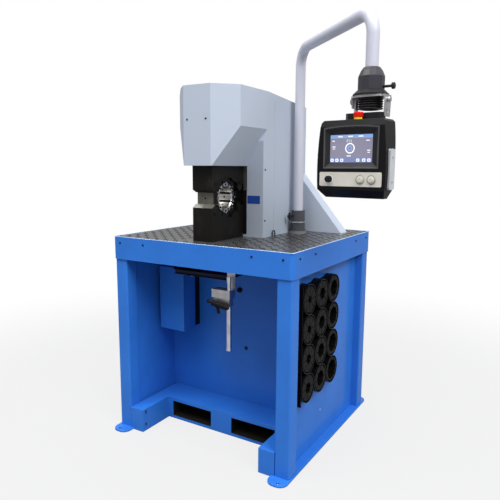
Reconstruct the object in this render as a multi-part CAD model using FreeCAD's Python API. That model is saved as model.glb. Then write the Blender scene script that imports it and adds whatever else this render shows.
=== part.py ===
import FreeCAD, Part
import math
import os

# Bench-mounted hose crimping machine with eight wedge-driven dies, a swing arm and a control panel.
# Millimetres. The origin is the centre of the floor bolt pattern on the floor,
# +X to the operator's right, +Y to the back and +Z up. The operator stands on the -Y side.

V = FreeCAD.Vector
UP = V(0, 0, 1)

# bench
bench_width = 900.0
bench_depth = 840.0
bench_height = 900.0
rim_height = 100.0
rim_corner = 18.0
tray_sheet = 3.0
mat_thick = 5.0
post_side = 65.0
post_wall = 4.0
post_round = 7.0
post_inset = 6.0
foot_width = 85.0
foot_thick = 8.0
foot_overhang = 50.0
foot_corner = 36.0
anchor_in = 35.0
anchor_out = 32.0
anchor_hole = 6.5
panel_recess = 37.0
panel_thick = 19.0
screw_drop = 27.0
rail_in = 177.0
rail_side = 40.0
rail_wall = 3.0
corner_screw = 42.0
side_screw = 54.0
middle_screw = 193.0

# base box with fork pockets, and the knee space above it
base_height = 106.0
base_sheet = 4.0
arm_width = 73.0
base_front = 5.0
beam_front = 190.0
fork_width = 223.0
fork_height = 74.0
fork_share = 0.549
fork_floor = 14.0
fork_wall = 3.0
back_panel_y = 338.0
back_panel_sheet = 3.0
back_panel_flange = 25.0
rear_panel_inset = 20.0
latch_slot_w = 9.0
latch_slot_h = 14.0
latch_low = 31.0
latch_high = 91.0
latch_in = 22.0
vent_rows = 6
vent_drop = 240.0
vent_pitch = 28.0
vent_width = 180.0
vent_height = 8.0
brace_side = 30.0
brace_wall = 3.0

# crimping head; its axis runs along X
head_x = -12.5
ram_front = 193.5
crimp_rise = 179.0
block_width = 99.0
block_half = 114.5
master_length = 81.0
die_length = 77.0
master_reach = 130.0
die_count = 8
die_bore = 39.5
die_back = 55.5
open_now = 6.5
open_more = 18.0
slide_gap = 0.3
flank_gap = 0.2
seat_depth = 84.0
seat_half = 32.3
pocket_half = 78.0
peak_y = 93.0
peak_gap = 24.0
lower_mouth = 39.0
upper_mouth = 36.0
pin_radius = 2.6
pin_ring = 64.0
pin_proud = 3.0

# frame, cylinder and ram
column_front = 330.0
column_back = 540.0
column_half = 75.0
tongue_rise = 161.0
head_rise = 211.0
head_height = 180.0
head_half = 100.0
head_front = 95.0
barrel_out = 85.0
barrel_bore = 70.0
piston_h = 42.0
rod_radius = 50.0
gland_h = 30.0
rod_play = 0.06
cap_h = 20.0
cap_reach = 92.0
cap_bolt_circle = 80.0
gib_width = 19.5
gib_thick = 12.0
gib_rise = 28.0
gib_gap = 8.0
gib_screws = 4
block_bolt_y = 92.5
block_bolt_low = 64.0
block_bolt_high = 62.0

# sheet covers
cover_wall = 2.5
cover_left = -165.0
cover_right = 140.0
cover_front = 45.0
cover_facet = 86.0
cover_rise = 134.0
cover_over = 60.0
undercut_rise = 81.0
undercut_in = 83.0
cover_face_y = 316.0
knee_rise = 30.0
cover_joint_y = 350.0
cover_back_y = 735.0
cover_slope = 32.0
wing_front_y = 660.0
wing_in = 80.0
wing_rise = 280.0
cover_clip = 26.0
lift_hole_drop = 133.0
cover_screw_low = 75.0
cover_screw_high = 297.0

# swing arm
pole_gap = 42.5
pole_back = 577.0
pole_radius = 22.5
pole_wall = 3.0
pole_rise = 839.0
base_disc_h = 12.0
base_disc = 41.0
base_neck = 34.0
base_h = 50.0
washer_h = 5.7
collar_h = 52.0
collar_radius = 32.5
handle_up = 26.0
drop_reach = 478.5
drop_front = 152.0
drop_length = 190.0
bend_pole = 80.0
socket_depth = 45.0

# control panel, in a frame at the drop tube: u to the panel's right, v to its back
panel_yaw = -6.3
panel_left = -154.0
panel_right = 106.0
panel_front_v = -92.0
panel_back_v = 1.0
panel_height = 268.0
panel_drop = 179.0
panel_shoulder = 12.0
panel_foot = 18.0
panel_corner = 8.0
panel_chin = 29.0
panel_chin_depth = 36.0
panel_brow = 23.0
panel_slope = 29.0
panel_wall = 3.0
joint_drop = 75.0
cup_sides = 12
cup_wide = 46.5
cup_shoulder = 38.0
cup_neck = 29.0
cup_straight = 44.0
cup_curve = 19.0
clamp_up = 8.0
clamp_shaft = 4.5
clamp_length = 33.0
clamp_head = 11.0
clamp_head_h = 9.0
skirt_h = 21.2
skirt_radius = 62.5
skirt_edge = 6.0
swivel_thick = 6.0
swivel_tab = 7.0
swivel_front = 34.0
swivel_back = 52.0
tilt_base_h = 24.0
tilt_base_left = 73.0
tilt_base_right = 62.0
tilt_base_back = 12.0
tilt_v = -12.0
tilt_drop = 9.5
tilt_knob_radius = 13.0
tilt_knob_length = 10.0
tilt_nut_radius = 9.0
tilt_nut_length = 8.0
ear_foot = 12.0
ear_tip = 7.0
axle_radius = 5.0
axle_out = 1.0
lug_right_in = 66.0
lug_left_in = 51.5
lug_thick = 4.0
lug_half = 20.0
lug_flare = 6.0
lug_right_low = 57.0
lug_left_low = 25.0
slot_radius = 41.0
slot_width = 8.0
ear_thick = 6.0
running_gap = 0.05
bellows_out = 44.0
bellows_in = 30.0
bellows_folds = 5
bellows_low = 36.0
window_left = 30.0
window_right = 31.0
window_bottom = 162.0
window_top = 30.0
window_arch = 6.0
screen_left = 15.5
screen_right = 23.5
screen_low = 17.0
screen_high = 20.0
screen_depth = 12.0
screen_thick = 4.0
frame_wall = 2.2
frame_lip = 1.5
key_margin = 12.5
key_bottom = 41.0
key_height = 49.0
key_thick = 1.2
knob_inset = 51.0
knob_radius = 12.5
push_inset = 48.5
push_pitch = 41.0
push_radius = 9.0
bezel_radius = 14.75
bezel_barrel = 11.0
barrel_play = 0.2
bush_radius = 5.0
estop_shift = 12.3
estop_inset = 26.0
estop_collar = 14.5
estop_collar_h = 8.0
estop_stem = 8.0
estop_head = 16.5
estop_rise = 0.2
estop_travel = 5.5
pod_thick = 6.0
pod_bottom = 32.0
pod_top = 168.0
pod_front = 21.0
pod_depth = 41.0

# die rack on the right side
cup_radius = 60.5
cup_wall = 3.0
cup_pitch = 122.0
cup_rows = 4
cup_columns = 3
cup_front = 160.0
cup_drop = 203.0
cup_rim_in = 3.0
stored_die_out = 52.0
stored_die_step = 1.0
stored_slit = 3.0

# compartment behind the knee panel: oil tank, motor and pump, valve block and pressure pipe
tank_left = -260.0
tank_right = 60.0
tank_front_in = 380.0
tank_depth = 290.0
tank_h = 230.0
tank_sheet = 3.0
lid_edge = 8.0
lid_thick = 8.0
filler_inset = 50.0
filler_radius = 22.0
filler_neck = 30.0
motor_x = -100.0
motor_in = 145.0
motor_radius = 78.0
motor_len = 240.0
motor_fins = 16
fin_reach = 9.0
bell_radius = 80.0
bell_wall = 20.0
bell_h = 60.0
flange_h = 12.0
pump_radius = 45.0
pump_len = 95.0
shaft_radius = 14.0
valve_left = -5.0
valve_right = 50.0
valve_in = 100.0
valve_depth = 110.0
valve_h = 90.0
coil_h = 60.0
port_radius = 14.0
port_len = 16.0
pipe_radius = 9.0
pipe_x = 126.0
pipe_in = 25.0
pipe_bend = 50.0
pipe_top_bend = 26.0
pipe_rise = 94.0
nut_radius = 14.0
nut_h = 10.0

# under the table on the operator's side: chip tray, cabinet and length stop
chip_left_in = 73.0
chip_right_in = 155.0
chip_front_in = 100.0
chip_depth = 224.0
chip_drop = 129.0
chip_h = 18.0
chip_sheet = 2.0
chip_lip = 12.0
chip_ear = 10.0
chip_ear_in = 6.0
runner_gap = 0.3
cab_side = 91.0
cab_width = 138.0
cab_depth = 91.0
sink_depth = 41.0
cab_height = 297.0
cab_drop = 152.0
cab_sheet = 2.0
cab_door = 14.0
cab_screw_drop = 22.0
sink_fins = 9
sink_fin = 4.0
sink_base = 8.0
stop_x = 138.0
stop_front = 50.0
stop_rod_r = 11.0
stop_stem_r = 7.5
stop_rod_h = 242.0
stop_stem_h = 30.0
stop_cap_h = 24.0
stop_drop = 120.0
stop_shoe = 12.0
clamp_lower = 34.0
clamp_upper = 30.0
clamp_drop = 178.0
clamp_reach = 72.0
clamp_side = 16.0
clamp_half = 20.0
shelf_thick = 4.0
hanger_width = 38.0
lever_in = 34.0
lever_up = 12.0
lever_bar = 92.0

# working values that follow from the above
half_w = bench_width / 2
half_d = bench_depth / 2
rim_bottom = bench_height - rim_height
plate_top = bench_height - mat_thick
plate_bottom = plate_top - tray_sheet
post_edge_x = half_w - post_inset
post_edge_y = half_d - post_inset
post_in_x = post_edge_x - post_side
post_in_y = post_edge_y - post_side
skin_x = post_edge_x - panel_recess
arm_in_x = post_in_x - arm_width
y_of = -half_d
anchor_x = half_w - anchor_in
anchor_y = half_d + anchor_out
rail_x = half_w - rail_in
fork_centre_x = arm_in_x * fork_share
vent_low = rim_bottom - vent_drop
ram_y = y_of + ram_front
crimp_z = bench_height + crimp_rise
tongue_top = crimp_z + tongue_rise
head_bottom = crimp_z + head_rise
head_top = head_bottom + head_height
gib_bottom = crimp_z + gib_rise
gib_top = head_bottom - gib_gap
cover_bottom = crimp_z + cover_rise
cover_top = head_top + cover_over
undercut_top = head_bottom + undercut_rise
cover_knee_z = head_bottom + knee_rise
cover_back_top = cover_top - cover_slope
lift_hole_z = cover_top - lift_hole_drop
wing_reach = half_w - wing_in - cover_right
pole_x = cover_right + pole_gap
pole_y = y_of + pole_back
pole_top = bench_height + pole_rise
drop_x = pole_x + drop_reach
drop_y = y_of + drop_front
drop_bottom = pole_top - drop_length
panel_top = drop_bottom - panel_drop
panel_bottom = panel_top - panel_height
cup_first_y = y_of + cup_front
cup_top_z = bench_height - cup_drop
cup_rim_x = half_w - cup_rim_in
tank_front = y_of + tank_front_in
tank_back = tank_front + tank_depth
motor_y = tank_front + motor_in
valve_front = tank_front + valve_in
valve_back = valve_front + valve_depth
pipe_y = valve_front + pipe_in
pipe_top = head_bottom + pipe_rise
chip_left = rail_side / 2 + chip_left_in - rail_x
chip_right = rail_x - rail_side / 2 - chip_right_in
chip_front = y_of + chip_front_in
chip_back = chip_front + chip_depth
chip_top = plate_bottom - chip_drop
cab_left = cab_side - half_w
cab_right = cab_left + cab_width
cab_back = y_of + back_panel_y - sink_depth
cab_front = cab_back - cab_depth
cab_high = plate_bottom - cab_drop
cab_low = cab_high - cab_height
stop_y = y_of + stop_front
stop_cap_top = plate_bottom - stop_drop
stop_cap_low = stop_cap_top - stop_cap_h
stop_stem_low = stop_cap_low - stop_stem_h
stop_rod_low = stop_stem_low - stop_rod_h
clamp_top = plate_bottom - clamp_drop
clamp_mid = clamp_top - clamp_upper
clamp_low = clamp_mid - clamp_lower
clamp_left = stop_x - clamp_reach
clamp_right = stop_x + clamp_side
swivel_top = drop_bottom - joint_drop - slide_gap - skirt_h
swivel_low = swivel_top - swivel_thick
tilt_z = swivel_low - tilt_drop
window_u = (panel_left + window_left, panel_right - window_right)
window_z = (panel_top - window_bottom, panel_top - window_top)
screen_u = (window_u[0] + screen_left, window_u[1] - screen_right)
screen_z = (window_z[0] + screen_low, window_z[1] - screen_high)
key_u = (panel_left + key_margin, panel_right - key_margin)
key_z = (panel_bottom + key_bottom, panel_bottom + key_bottom + key_height)
control_z = (key_z[0] + key_z[1]) / 2
knob_u = panel_left + knob_inset
push_u = (panel_right - push_inset - push_pitch, panel_right - push_inset)
estop_u = (panel_left + panel_right) / 2 + estop_shift
estop_v = panel_front_v + estop_inset
half_die = math.radians(180.0 / die_count)
die_names = ["rear", "upper_rear", "top", "upper_front", "front", "lower_front", "bottom", "lower_rear"]


def box(x0, x1, y0, y1, z0, z1):
    return Part.makeBox(x1 - x0, y1 - y0, z1 - z0, V(x0, y0, z0))


def cyl(radius, height, at, axis=UP):
    return Part.makeCylinder(radius, height, V(*at), V(*axis))


def ring(r_out, r_in, height, at, axis=UP):
    return cyl(r_out, height, at, axis).cut(cyl(r_in, height, at, axis))


def prism(points, along):
    wire = Part.makePolygon([V(*p) for p in points] + [V(*points[0])])
    return Part.Face(wire).extrude(V(*along))


def prism_x(points, x0, x1):
    return prism([(x0, y, z) for y, z in points], (x1 - x0, 0, 0))


def prism_y(points, y0, y1):
    return prism([(x, y0, z) for x, z in points], (0, y1 - y0, 0))


def prism_z(points, z0, z1):
    return prism([(x, y, z0) for x, y in points], (0, 0, z1 - z0))


def round_upright(shape, radius):
    edges = [e for e in shape.Edges if abs(e.tangentAt(e.FirstParameter).z) > 0.999]
    return shape.makeFillet(radius, edges)


def fuse(shapes):
    return shapes[0].multiFuse(shapes[1:]).removeSplitter()


def mirror_x(shape, x=0.0):
    return shape.mirror(V(x, 0, 0), V(1, 0, 0))


def hex_head(width, height, at, axis=UP):
    points = []
    for k in range(6):
        a = math.radians(60 * k)
        points.append(V(width / math.sqrt(3) * math.cos(a), width / math.sqrt(3) * math.sin(a), 0))
    solid = Part.Face(Part.makePolygon(points + [points[0]])).extrude(V(0, 0, height))
    solid.Placement = FreeCAD.Placement(V(*at), FreeCAD.Rotation(UP, V(*axis)))
    return solid


def socket_screw(head_radius, head_height, at, axis):
    key = hex_head(head_radius * 0.9, head_height * 0.6, at, axis)
    key.translate(V(*axis).normalize() * (head_height * 0.41))
    return cyl(head_radius, head_height, at, axis).cut(key)


def save(name, *solids):
    flat = []
    for shape in solids:
        flat.extend(shape.Solids)
    shape = flat[0] if len(flat) == 1 else Part.makeCompound(flat)
    shape.exportStep("parts/%s.step" % name)
    print("%-24s %3d solids, box %s" % (name, len(flat), shape.BoundBox))


# Bench: feet, posts, side panels, rim tray, mat


def foot_plates():
    x1 = half_w
    x0 = x1 - foot_width
    reach = half_d + foot_overhang
    plate = round_upright(box(x0, x1, -reach, reach, 0, foot_thick), foot_corner)
    for y in (-anchor_y, anchor_y):
        plate = plate.cut(cyl(anchor_hole, foot_thick, (anchor_x, y, 0)))
    return plate, mirror_x(plate)


def corner_post(sx, sy):
    x0, x1 = sorted((sx * post_in_x, sx * post_edge_x))
    y0, y1 = sorted((sy * post_in_y, sy * post_edge_y))
    outer = round_upright(box(x0, x1, y0, y1, foot_thick, plate_bottom), post_round)
    w = post_wall
    inner = round_upright(box(x0 + w, x1 - w, y0 + w, y1 - w, foot_thick, plate_bottom), post_round - w)
    return outer.cut(inner)


def side_panel():
    outer = box(skin_x - panel_thick, skin_x, -post_in_y, post_in_y, foot_thick, plate_bottom)
    w = 2.0
    inner = box(skin_x - panel_thick + w, skin_x - w, -post_in_y + w, post_in_y - w, foot_thick + w,
                plate_bottom - w)
    return outer.cut(inner)


def rim_tray():
    outer = round_upright(box(-half_w, half_w, -half_d, half_d, rim_bottom, bench_height), rim_corner)
    w = tray_sheet
    inner = round_upright(box(-half_w + w, half_w - w, -half_d + w, half_d - w, rim_bottom, bench_height),
                          rim_corner - w)
    plate = inner.common(box(-half_w, half_w, -half_d, half_d, plate_bottom, plate_top))
    plate = plate.cut(cyl(nut_radius, tray_sheet, (pipe_x, pipe_y, plate_bottom)))
    return fuse([outer.cut(inner), plate])


def mat():
    g = tray_sheet + 1.0
    sheet = round_upright(box(-half_w + g, half_w - g, -half_d + g, half_d - g, plate_top, bench_height),
                          rim_corner - g)
    foot = box(head_x - column_half - 2, head_x + column_half + 2, y_of + column_front - 2,
               y_of + column_back + 2, plate_top, bench_height)
    arm = box(head_x - block_width / 2 - 1, head_x + block_width / 2 + 1, ram_y - block_half - 1,
              y_of + column_front, plate_top, bench_height)
    pipe = cyl(nut_radius, mat_thick, (pipe_x, pipe_y, plate_top))
    return sheet.cut(foot).cut(arm).cut(pipe)


def cross_rails():
    h = rail_side / 2
    y = half_d - tray_sheet
    w = rail_wall
    rail = box(rail_x - h, rail_x + h, -y, y, plate_bottom - rail_side, plate_bottom)
    z0, z1 = plate_bottom - rail_side + w, plate_bottom - w
    rail = rail.cut(box(rail_x - h + w, rail_x + h - w, -y, y, z0, z1))
    return rail, mirror_x(rail)


def rim_screws():
    z = bench_height - screw_drop
    screws = []
    for x in (rail_x, half_w - corner_screw):
        for s in (-1, 1):
            screws.append(socket_screw(4.0, 2.5, (s * x, -half_d, z), (0, -1, 0)))
            screws.append(socket_screw(4.0, 2.5, (s * x, half_d, z), (0, 1, 0)))
    for y in (half_d - side_screw, half_d - middle_screw):
        for s in (-1, 1):
            screws.append(socket_screw(4.0, 2.5, (half_w, s * y, z), (1, 0, 0)))
            screws.append(socket_screw(4.0, 2.5, (-half_w, s * y, z), (-1, 0, 0)))
    return screws


# Base box: a U-shaped box of sheet on the floor with two fork pockets through it


def base_box():
    y_arm = y_of + base_front
    y_beam = y_of + beam_front
    y_back = post_in_y
    x = post_in_x - 0.5
    outline = [(-x, y_arm), (-arm_in_x, y_arm), (-arm_in_x, y_beam), (arm_in_x, y_beam), (arm_in_x, y_arm),
               (x, y_arm), (x, y_back), (-x, y_back)]
    outer = prism_z(outline, 0, base_height)
    w = base_sheet
    inset = [(-x + w, y_arm + w), (-arm_in_x - w, y_arm + w), (-arm_in_x - w, y_beam + w),
             (arm_in_x + w, y_beam + w), (arm_in_x + w, y_arm + w), (x - w, y_arm + w),
             (x - w, y_back - w), (-x + w, y_back - w)]
    shell = outer.cut(prism_z(inset, 0, base_height - w))
    for s in (-1, 1):
        shell = shell.cut(fork_hole(s, y_of + beam_front - 10, y_back + 10))
        for z in (latch_low, latch_high):
            xs = s * (arm_in_x + w / 2)
            y = y_of + latch_in
            slot = box(xs - w, xs + w, y, y + latch_slot_w, z - latch_slot_h / 2, z + latch_slot_h / 2)
            shell = shell.cut(slot)
        foot_x = sorted((s * (half_w - foot_width), s * half_w))
        shell = shell.cut(box(foot_x[0], foot_x[1], -half_d, half_d, 0, foot_thick))
    return shell


def fork_hole(s, y0, y1):
    xc = s * fork_centre_x
    return box(xc - fork_width / 2, xc + fork_width / 2, y0, y1, fork_floor, fork_floor + fork_height)


def fork_tubes():
    y0 = y_of + beam_front
    tubes = []
    for s in (-1, 1):
        hole = fork_hole(s, y0 + base_sheet, post_in_y - base_sheet)
        b = hole.BoundBox
        w = fork_wall
        outer = box(b.XMin - w, b.XMax + w, b.YMin, b.YMax, b.ZMin - w, b.ZMax + w)
        tubes.append(outer.cut(hole))
    return tubes


def knee_panel():
    y0 = y_of + back_panel_y
    x = skin_x - panel_thick
    sheet = box(-x, x, y0, y0 + back_panel_sheet, base_height, plate_bottom - rail_side)
    flange = box(-x, x, y0, y0 + back_panel_flange, base_height, base_height + back_panel_sheet)
    return fuse([sheet, flange])


def rear_panel():
    y = half_d - rear_panel_inset
    w = cab_sheet
    sheet = box(-post_in_x, post_in_x, y - w, y, base_height, rim_bottom)
    for row in range(vent_rows):
        z = vent_low + vent_pitch * row
        for s in (-1, 1):
            x = s * vent_width
            sheet = sheet.cut(box(x - vent_width / 2, x + vent_width / 2, y - w, y, z, z + vent_height))
    lips = [box(-post_in_x, post_in_x, y - 18, y - w, z, z + w) for z in (base_height, rim_bottom - w)]
    return fuse([sheet] + lips)


def rear_brace():
    # angle brace that carries the rear panel and ties the rear posts at the top
    x = post_in_x
    y = half_d - rear_panel_inset - cab_sheet
    a, w = brace_side, brace_wall
    bar = box(-x, x, y - a, y, rim_bottom, rim_bottom + a)
    return bar.cut(box(-x, x, y - a + w, y, rim_bottom + w, rim_bottom + a))


# Compartment behind the knee panel: oil tank, motor, pump, valves and the hose to the cylinder

def tank_parts():
    x0, x1, y0, y1 = tank_left, tank_right, tank_front, tank_back
    z0 = base_height
    z1 = z0 + tank_h
    w, e = tank_sheet, lid_edge
    tank = box(x0, x1, y0, y1, z0, z1).cut(box(x0 + w, x1 - w, y0 + w, y1 - w, z0 + w, z1))
    lid = box(x0 - e, x1 + e, y0 - e, y1 + e, z1, z1 + lid_thick)
    lid = lid.cut(cyl(pump_radius + 7, lid_thick, (motor_x, motor_y, z1)))
    x, y, z = x1 - filler_inset, y0 + filler_inset, z1 + lid_thick
    neck = cyl(filler_radius, filler_neck, (x, y, z))
    filler = fuse([neck, cyl(filler_radius + 8, 12, (x, y, z + filler_neck))])
    return tank, lid, filler


def motor_parts():
    # motor on a bell over the tank's lid, and the pump below it in the oil
    z = base_height + tank_h + lid_thick
    zm = z + bell_h + flange_h
    bell = fuse([ring(bell_radius, bell_radius - bell_wall, bell_h, (motor_x, motor_y, z)),
                 ring(motor_radius + 12, shaft_radius * 2, flange_h, (motor_x, motor_y, z + bell_h))])
    body = cyl(motor_radius, motor_len, (motor_x, motor_y, zm))
    r = motor_radius + fin_reach
    fins = []
    for k in range(motor_fins // 2):
        fin = box(motor_x - r, motor_x + r, motor_y - 2, motor_y + 2, zm + 20, zm + motor_len - 40)
        fin.rotate(V(motor_x, motor_y, 0), UP, 360.0 / motor_fins * k)
        fins.append(fin)
    cowl = cyl(motor_radius + 6, 38, (motor_x, motor_y, zm + motor_len - 36))
    motor = fuse([body, cowl] + fins)
    pump_top = z - lid_thick - 10
    shaft = cyl(shaft_radius, zm - pump_top, (motor_x, motor_y, pump_top))
    pump = cyl(pump_radius, pump_len, (motor_x, motor_y, pump_top - pump_len))
    return bell, motor, fuse([shaft, pump])


def valve_parts():
    x0, x1, y0, y1 = valve_left, valve_right, valve_front, valve_back
    z = base_height + tank_h + lid_thick
    block = box(x0, x1, y0, y1, z, z + valve_h)
    zp = z + valve_h / 2
    ports = [cyl(port_radius, port_len, (x1, y, zp), (1, 0, 0)) for y in (y0 + pipe_in, y1 - pipe_in)]
    block = fuse([block] + ports)
    mid = (y0 + y1) / 2
    coils = [box(x0 + 10, x1 - 10, a, b, z + valve_h, z + valve_h + coil_h)
             for a, b in ((y0 + 5, mid - 2), (mid + 2, y1 - 5))]
    return block, coils


def pressure_pipe():
    # from the valve block's outer port up through the table and beside the column to the cylinder
    z0 = base_height + tank_h + lid_thick + valve_h / 2
    x0 = valve_right + port_len
    xe = head_x + head_half
    r, q = pipe_bend, pipe_top_bend
    k = math.sin(math.pi / 4)
    a = V(x0, pipe_y, z0)
    b = V(pipe_x - r, pipe_y, z0)
    c = V(pipe_x, pipe_y, z0 + r)
    m = V(pipe_x - r + r * k, pipe_y, z0 + r - r * k)
    d = V(pipe_x, pipe_y, pipe_top - q)
    n = V(pipe_x - q + q * k, pipe_y, pipe_top - q + q * k)
    e = V(pipe_x - q, pipe_y, pipe_top)
    f = V(xe, pipe_y, pipe_top)
    path = Part.Wire([Part.LineSegment(a, b).toShape(), Part.Arc(b, m, c).toShape(),
                      Part.LineSegment(c, d).toShape(), Part.Arc(d, n, e).toShape(),
                      Part.LineSegment(e, f).toShape()])
    profile = Part.Wire([Part.Circle(a, V(1, 0, 0), pipe_radius).toShape()])
    pipe = path.makePipeShell([profile], True, False)
    return pipe, ring(nut_radius, pipe_radius, nut_h, (x0, pipe_y, z0), (1, 0, 0))


# Under the table on the operator's side: chip tray, cabinet and length stop

def chip_tray():
    x0, x1, y0, y1 = chip_left, chip_right, chip_front, chip_back
    z0, z1, w = chip_top - chip_h, chip_top, chip_sheet
    tray = box(x0, x1, y0, y1, z0, z1)
    tray = tray.cut(box(x0 + w, x1 - w, y0 + w, y1 - w, z0 + w, z1))
    lip = box(x0, x1, y0 - chip_lip, y0, z0, z0 + w)
    ears = [box(x, x + chip_ear, y0 + chip_ear_in, y1, z1 - w, z1) for x in (x0 - chip_ear, x1)]
    return fuse([tray, lip] + ears)


def chip_runners():
    # a channel round each ear of the tray, hung from the table
    x1, y0, y1 = chip_right, chip_front + chip_ear_in, chip_back
    w, g = chip_sheet, runner_gap
    xe = x1 + chip_ear + g
    z0 = chip_top - w - g - w
    z1 = plate_bottom - rail_side
    side = box(xe, xe + w, y0, y1, z0, plate_bottom)
    shelf = box(x1 + w, xe, y0, y1, z0, z0 + w)
    roof = box(x1 + w, xe, y0, y1, chip_top + g, chip_top + g + w)
    right = fuse([side, shelf, roof])
    return right, mirror_x(right, (chip_left + chip_right) / 2)


def cabinet():
    x0, x1, y0, y1, z0, z1 = cab_left, cab_right, cab_front, cab_back, cab_low, cab_high
    w, d = cab_sheet, cab_door
    body = box(x0, x1, y0 + d, y1, z0, z1)
    body = body.cut(box(x0 + w, x1 - w, y0 + d, y1 - w, z0 + w, z1 - w))
    door = box(x0 - w, x1 + w, y0, y0 + d, z0 - w, z1 + w)
    door = door.cut(box(x0, x1, y0 + w, y0 + d, z0, z1))
    screws = [socket_screw(3.5, 2.5, (x1 + w, y0 + d / 2, z), (1, 0, 0))
              for z in (z0 + cab_screw_drop, z1 - cab_screw_drop)]
    return body, door, screws


def heat_sink():
    x0, x1 = cab_left + 6, cab_right - 4
    y0, y1 = cab_back, y_of + back_panel_y
    z0, z1 = cab_low + 4, cab_high - 4
    base = box(x0, x1, y1 - sink_base, y1, z0, z1)
    step = (x1 - x0 - sink_fin) / (sink_fins - 1)
    fins = []
    for k in range(sink_fins):
        x = x0 + step * k
        fins.append(box(x, x + sink_fin, y0, y1 - sink_base, z0, z1))
    return fuse([base] + fins)


def stop_bracket():
    # hanger plate from the table down to a shelf over the clamp block
    w = shelf_thick
    y0 = stop_y + clamp_half
    x0 = clamp_right - hanger_width
    hanger = box(x0, clamp_right, y0, y0 + w, clamp_top, plate_bottom)
    foot = box(x0, clamp_right, y0, y0 + 6 * w, plate_bottom - w, plate_bottom)
    shelf = box(clamp_left, clamp_right, stop_y - clamp_half - 2, y0 + w, clamp_top, clamp_top + w)
    bracket = fuse([hanger, foot, shelf])
    return bracket.cut(cyl(stop_rod_r + 1.0, 3 * w, (stop_x, stop_y, clamp_top - w)))


def stop_clamp():
    # split block round the rod: a wide upper part and a narrower lower one with the clamping screw
    x0, x1, h = clamp_left, clamp_right, clamp_half
    upper = box(x0, x1, stop_y - h, stop_y + h, clamp_mid, clamp_top)
    lower = box(x0 + 8, x1 - 4, stop_y - h + 4, stop_y + h - 4, clamp_low, clamp_mid)
    block = fuse([upper, lower])
    block = block.cut(cyl(stop_rod_r + running_gap, clamp_top - clamp_low, (stop_x, stop_y, clamp_low)))
    return block.cut(box(x0, stop_x, stop_y - 1, stop_y + 1, clamp_low, clamp_top))


def stop_rod():
    x, y, low = stop_x, stop_y, stop_rod_low - stop_shoe
    rod = cyl(stop_rod_r, stop_stem_low - stop_rod_low, (x, y, stop_rod_low))
    stem = cyl(stop_stem_r, stop_cap_low - stop_stem_low, (x, y, stop_stem_low))
    rod = fuse([rod, stem, cyl(stop_stem_r, stop_shoe, (x, y, low))])
    cap = cyl(stop_rod_r - 1, stop_cap_top - stop_cap_low, (x, y, stop_cap_low))
    shoe = ring(stop_rod_r + 1.5, stop_stem_r, stop_shoe, (x, y, low))
    return rod, cap, shoe


def stop_lever():
    # T handle on the screw that closes the split block
    x = clamp_left + lever_in
    y = stop_y - clamp_half + 4
    z = clamp_low + lever_up
    screw = cyl(5.0, 22.0, (x, y - 22.0, z), (0, 1, 0))
    hub = cyl(10.0, 16.0, (x, y - 26.0, z), (0, 1, 0))
    lean = V(0.97, 0, -0.17).normalize()
    mid = V(x, y - 18.0, z)
    left = mid - lean * (lever_bar / 2 - 6)
    bar = cyl(6.5, lever_bar, tuple(left), tuple(lean))
    ends = [Part.makeSphere(8.5, left), Part.makeSphere(8.5, left + lean * lever_bar)]
    branch = cyl(6.0, 40.0, tuple(mid), (0.3, 0, -1))
    return fuse([screw, hub, bar, branch] + ends)


# Crimping head: C frame with the lower die seat, ram block with the upper one, eight masters and dies


def seat_outline(mouth, foot):
    # half of the die seat, from its flat bottom out to the block's face, as distances from the crimp axis
    slope = math.tan(half_die)
    ramp = seat_depth / math.cos(half_die)
    ramp_in = ramp - seat_half * slope
    ramp_out = ramp - pocket_half * slope
    shoulder = peak_y + peak_gap - pocket_half
    return [(0, seat_depth), (seat_half, seat_depth), (seat_half, ramp_in), (pocket_half, ramp_out),
            (pocket_half, shoulder), (peak_y, peak_gap), (block_half, mouth), (block_half, foot)]


def c_frame():
    half = seat_outline(lower_mouth, crimp_z - plate_top)
    front = [(ram_y - u, crimp_z - w) for u, w in reversed(half)]
    back = [(ram_y + u, crimp_z - w) for u, w in half[1:-1]]
    column_y = y_of + column_front
    arm = prism_x(front + back + [(column_y + 20, crimp_z - lower_mouth), (column_y + 20, plate_top)],
                  head_x - block_width / 2, head_x + block_width / 2)
    column = box(head_x - column_half, head_x + column_half, column_y, y_of + column_back, plate_top,
                 head_bottom)
    head = box(head_x - head_half, head_x + head_half, y_of + head_front, y_of + column_back, head_bottom,
               head_top)
    frame = fuse([arm, column, head])
    frame = frame.cut(cyl(barrel_out, head_top - head_bottom - gland_h,
                          (head_x, ram_y, head_bottom + gland_h)))
    return frame.cut(cyl(rod_radius + rod_play, gland_h, (head_x, ram_y, head_bottom)))


def ram_block():
    half = seat_outline(upper_mouth, tongue_top - crimp_z)
    front = [(ram_y - u, crimp_z + w) for u, w in reversed(half)]
    back = [(ram_y + u, crimp_z + w) for u, w in half[1:]]
    block = prism_x(front + back, head_x - block_width / 2, head_x + block_width / 2)
    tongue_y = y_of + column_front - slide_gap
    tongue = box(head_x - block_width / 2, head_x + block_width / 2, ram_y + block_half, tongue_y,
                 crimp_z + upper_mouth + 20, tongue_top)
    block = fuse([block, tongue])
    bevel = [e for e in block.Edges if abs(e.tangentAt(e.FirstParameter).x) > 0.999
             and abs(e.BoundBox.YMin - (ram_y - block_half)) < 0.01 and e.BoundBox.ZMin > tongue_top - 1]
    return block.makeChamfer(2.0, bevel)


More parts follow.
